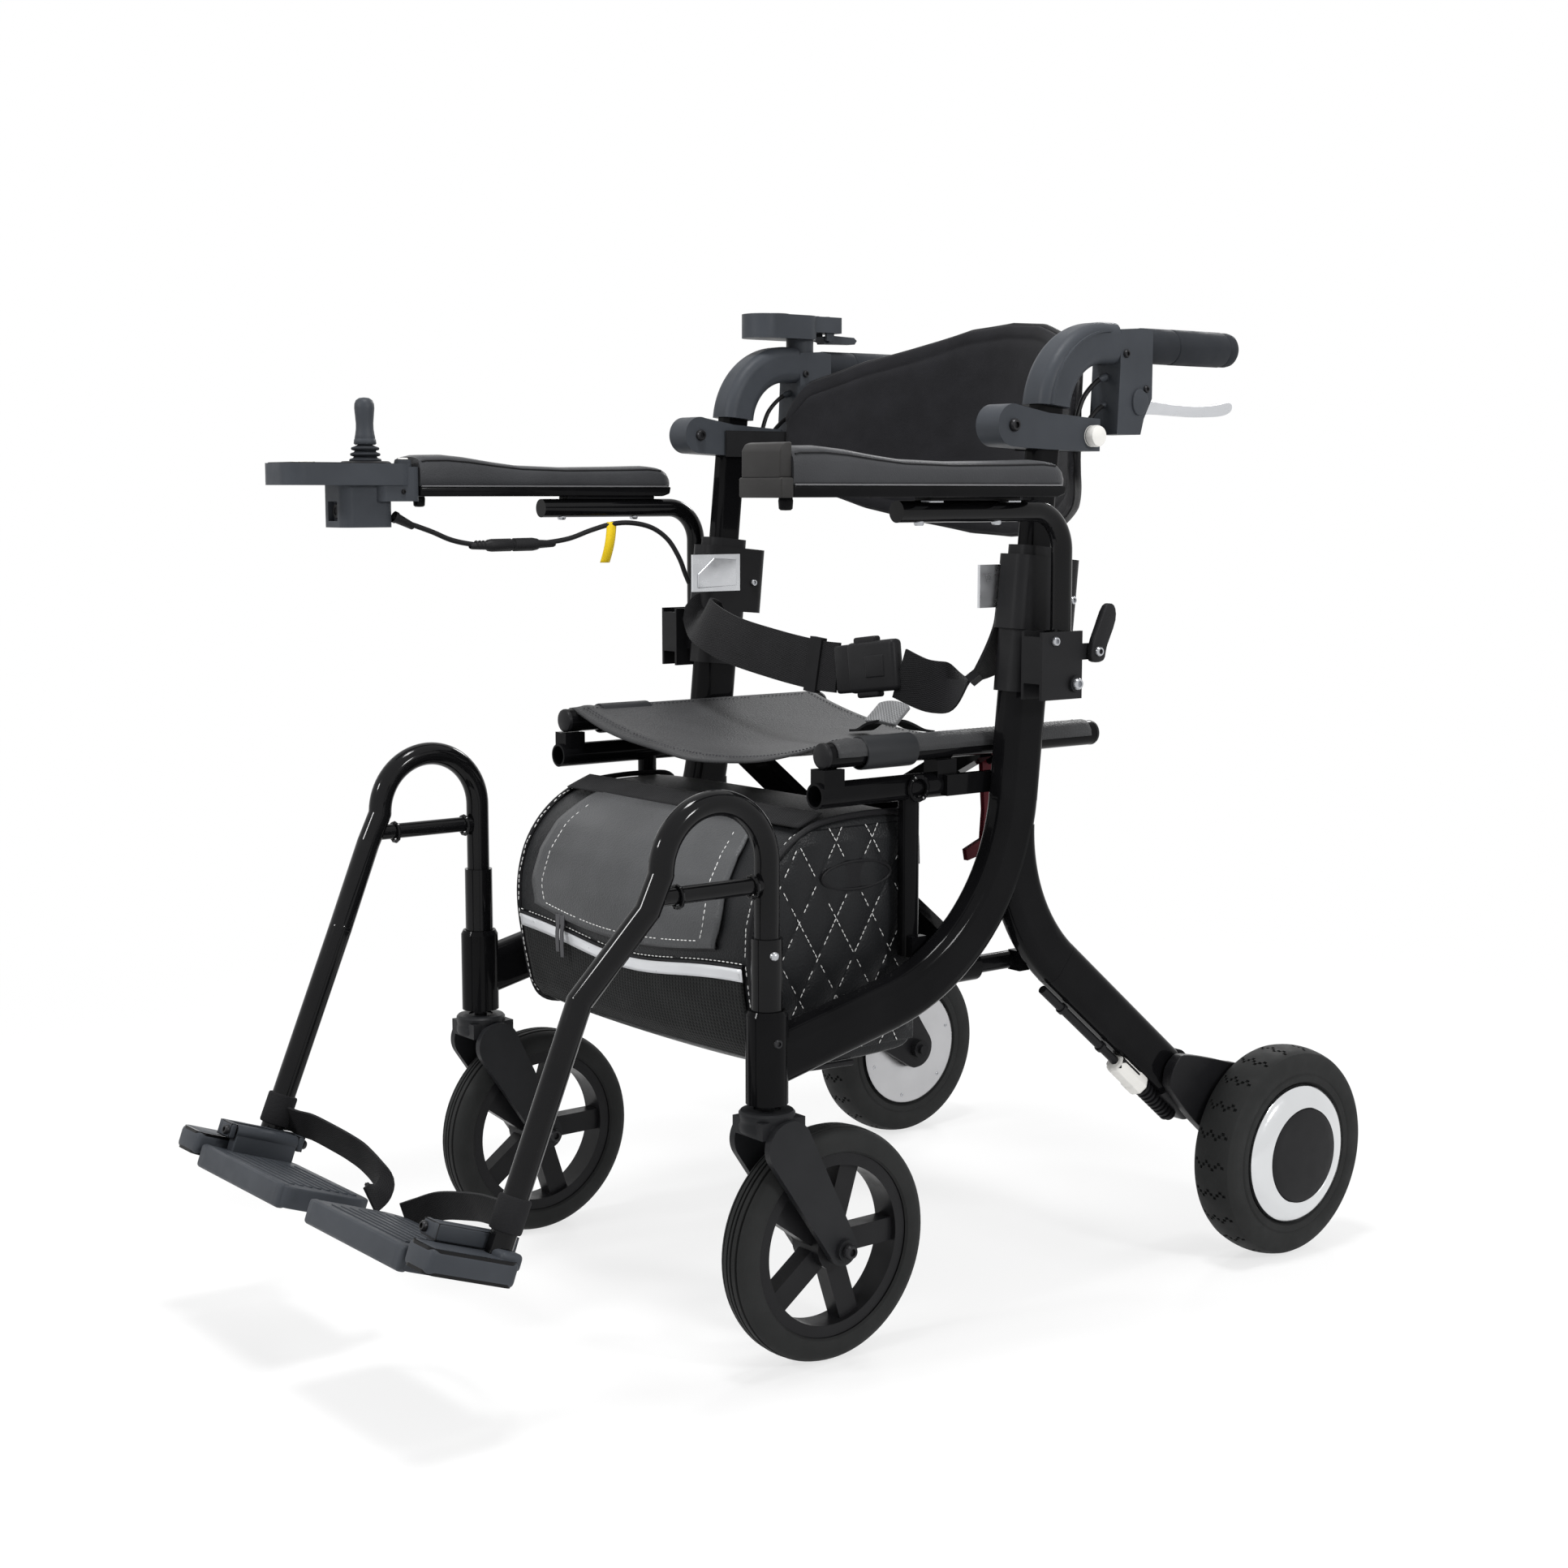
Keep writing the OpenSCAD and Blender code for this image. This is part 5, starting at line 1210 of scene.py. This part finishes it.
# Joystick controller: a slate housing with a flat panel in front and a lower box for the sockets;
# the stick has a waisted grip over a ribbed rubber boot.
STICK_AT = (-280, -328)
knob = turned("stick_knob", [(0, 809), (4.6, 808.4), (7.6, 806.4), (9.1, 803), (9.3, 799), (8.7, 792),
                             (8.1, 785), (8.2, 780), (8.9, 775), (9.6, 771.4), (9.5, 770.8), (10.1, 770),
                             (10.5, 766.4), (9.4, 765.4), (0, 765.4)], spot(*STICK_AT, 0), (0, 0, 1), 40,
              slate_nylon, "stick", 60)
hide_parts("joystick_stick")
folds = []
for k in range(3):
    z, r = 749 + 5.4 * k, 15 - 0.9 * k
    folds += [(r - 3.4, z), (r - 0.6, z + 0.8), (r, z + 2.0), (r - 0.6, z + 3.2), (r - 3.6, z + 4.2)]
turned("stick_boot", folds + [(6.2, 765.6), (5, 766)], spot(*STICK_AT, 0), (0, 0, 1), 40, grip_rubber,
       "stick", 60)
form = bmesh.new()
slab(form, [(-416, 747.4), (-354, 747.4), (-354, 748.8), (-416, 748.8)], -303, -257, 0.6)
lathe(form, [(15.4, -2), (16, 0.4), (18, 2.2), (21.5, 2.2), (23.6, 0.8), (24, -0.6)], spot(*STICK_AT, 748),
      (0, 0, 1), 48)
piece("controller_bezel", form, black_nylon, "armrest_right")
form = bmesh.new()
for x in (-294, -280, -266):
    lathe(form, [(0, 1.6), (3.4, 1.4), (4.4, 0.6), (4.6, -1)], spot(x, -392, 748.8), (0, 0, 1), 20)
lathe(form, [(0, 1.6), (4, 1.4), (4.8, 0.6), (4.9, -1)], spot(-263, -298, 752), (0, 0, 1), 24)
piece("controller_keys", form, ivory_plastic, "armrest_right")
form = bmesh.new()
lathe(form, [(0, 1.4), (3.2, 1.4), (3.6, 2.2), (6.4, 2.2), (7.2, 1.2), (7.4, -2)], spot(-280, -357.6, 704),
      (0, -1, 0), 32)
screw(form, spot(-252.2, -304, 722), (1, 0, 0), 2.4)
piece("controller_socket", form, black_nylon, "armrest_right")

# Controller lead: a thin black cable slung from the controller to the clamp, with an in-line
# connector, a clip under the arm and a yellow inspection tag.
LEAD_POINTS = [(-262, -309.3, 699), (-262, -299, 694), (-262, -286, 690), (-262, -268, 684),
               (-262, -250, 677), (-262, -232, 673), (-262, -212, 671), (-262, -180, 671),
               (-262, -148, 672), (-262, -116, 676), (-261, -90, 684), (-259, -66, 690), (-256, -44, 691),
               (-252, -22, 686), (-247, -6, 674), (-242, 4, 656), (-240, 10, 640), (-238.5, 14, 630)]
cable_jacket = even_finish("cable_jacket", (0.013, 0.013, 0.014), 0.5, spread=0.25, grain=1500.0,
                           depth=0.00006)
tag_yellow = even_finish("tag_yellow", (0.78, 0.55, 0.015), 0.5, spread=0.12, grain=700.0, depth=0.00008)
lead_line = line_through(LEAD_POINTS, 6)
form = bmesh.new()
sweep(form, round_section(2.5, 14), stations_on(lead_line))
lead = piece("controller_cable", form, cable_jacket, None, 60)
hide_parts("joystick_lead")
form = bmesh.new()
halves = [(2.6, -48), (3.4, -46), (4.2, -30), (5.6, -28), (6.2, -24), (6.2, -3), (5.2, -2), (5.2, 0),
          (6.4, 1), (6.4, 22), (5.6, 27), (4.2, 30), (3.4, 46), (2.6, 48)]
lathe(form, halves, spot(-262, -180, 671), (0, 1, 0.01), 28)
for k in range(5):
    lathe(form, [(3.6, 0), (4.3, 0.6), (4.3, 1.6), (3.6, 2.2)], spot(-262, -222 + 4 * k, 671.4),
          (0, 1, 0.01), 20)
lathe(form, [(2.6, -14), (3.4, -13), (4.8, 5), (5.6, 6), (5.6, 9)], spot(-262, -301.4, 695.2),
      (0, -1, 0.46), 20)
link = piece("cable_connector", form, cable_jacket, None, 50)


def tag_place(u, v):
    """The tag, hanging in a slight curl from the lead."""
    curl = 3 * math.sin(3 * v) + 1.5 * math.sin(4 * u)
    return spot(-259 + curl, -66 - 9 * v + 12 * (u - 0.5), 692 - 40 * v)


tag = panel("cable_tag", 6, 18, tag_place, tag_yellow, 0.5, None, (0.012, 0.040))
for made in (lead, link, tag):
    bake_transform(made)

# Footplates: slate plastic treads that flip up on their hinge pins, with fine ribs along the top and
# a deep front lip; a hook-and-loop heel strap goes from each leg to the inner rear corner.
PLATE_TILT, FOOT_X = 20, 196
HINGE_X, HINGE_Z = -24, 18
FOOT_WAY = Vector((0, -79, -190)).normalized()
HEEL_LINE = [(192, -475, 166), (186, -469, 165), (176, -463, 162), (164, -457, 160), (140, -452, 156),
             (112, -448.6, 152), (86, -447, 147), (52, -452, 140), (36, -463, 133), (29, -474, 129)]
wrap_cloth = even_finish("wrap_cloth", (0.012, 0.012, 0.013), 0.85, spread=0.35, grain=900.0, depth=0.0004,
                         streak=(0.3, 0.3, 1.6))


def foot_brick(form, place, size, soft):
    """A softened block in the plate's own frame, in millimetres."""
    where = Matrix.Translation(place) @ Matrix.Diagonal((*size, 1))
    made = bmesh.ops.create_cube(form, size=1.0, matrix=where)["verts"]
    soften(form, made, soft, 4)


for side, sign in SIDES:
    plate_frame = Matrix.Translation(spot(sign * FOOT_X, -506, 140))
    plate_frame = plate_frame @ Matrix.Rotation(math.radians(-PLATE_TILT), 4, "X")
    plate_frame = plate_frame @ Matrix.Diagonal((sign * 0.001, 0.001, 0.001, 1))
    form = bmesh.new()
    outline = []
    for cx, cy, r, start in ((-32, 19.5, 16, 0), (-156, 15.5, 20, 90), (-164, -42.5, 12, 180),
                             (-28, -42.5, 12, 270)):
        for k in range(7):
            a = math.radians(start + 15 * k)
            outline.append((cx + r * math.cos(a), cy + r * math.sin(a)))
    thicken(form, [form.verts.new((x, y, -17)) for x, y in outline], (0, 0, 18))
    soften(form, form.verts, 2.2, 3)
    for i in range(8):
        inset = 12 if i > 5 else 0
        foot_brick(form, (-100 - inset / 2, -38 + 8.6 * i, 1.0), (120 - inset, 4.6, 2.2), 0.7)
    foot_brick(form, (-95, -49.6, -8.2), (154, 9.6, 20.6), 3.4)
    foot_brick(form, (HINGE_X, 0, 7), (12, 60, 18), 1.2)
    barrel = [(4.4, -30), (6.2, -30), (6.5, -29.4), (6.5, 29.4), (6.2, 30), (4.4, 30)]
    # The plate's own frame is in millimetres, so the barrel is turned a thousand times larger.
    barrel = [(1000 * r, 1000 * h) for r, h in barrel]
    lathe(form, barrel, Vector((HINGE_X, 0, HINGE_Z)), (0, 1, 0), 28)
    bmesh.ops.transform(form, matrix=plate_frame, verts=form.verts)
    plate = piece("foot_tread_" + side, form, slate_nylon, "footrest_" + side)
    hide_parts("footplate_" + side)
    form = bmesh.new()
    foot_brick(form, (6, -16, 0), (36.8, 80.8, 20.8), 5.0)
    foot_brick(form, (10, 18, 9), (22, 20, 14), 4.0)
    foot_brick(form, (-9.5, 0, 18), (7.8, 74.8, 13.8), 2.0)
    for y in (-34, 34):
        foot_brick(form, (HINGE_X + 5, y, HINGE_Z), (19.6, 6.8, 13.8), 2.6)
    bmesh.ops.transform(form, matrix=plate_frame, verts=form.verts)
    piece("foot_block_" + side, form, slate_nylon, "legrest_" + side)
    form = bmesh.new()
    for y in (-38, 38):
        screw(form, plate_frame @ Vector((HINGE_X, y, HINGE_Z)), plate_frame.to_3x3() @ Vector((0, y, 0)),
              4.2)
    piece("foot_pins_" + side, form, dark_screw, "legrest_" + side)

    form = bmesh.new()
    ribbon(form, line_through(HEEL_LINE, 8, sign), 25, 2.6, ((0.3, 1, 0.1), (-0.9, 0.5, 0.1)))
    heel = piece("heel_webbing_" + side, form, strap_cloth, "footrest_" + side)
    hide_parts("heel_strap_" + side)
    turned("heel_wrap_" + side, [(10.6, 0), (12.6, 0.6), (13.2, 2), (13.2, 26), (12.6, 27.4), (10.6, 28)],
           spot(sign * FOOT_X, -469, 186), FOOT_WAY, 32, wrap_cloth, "legrest_" + side)
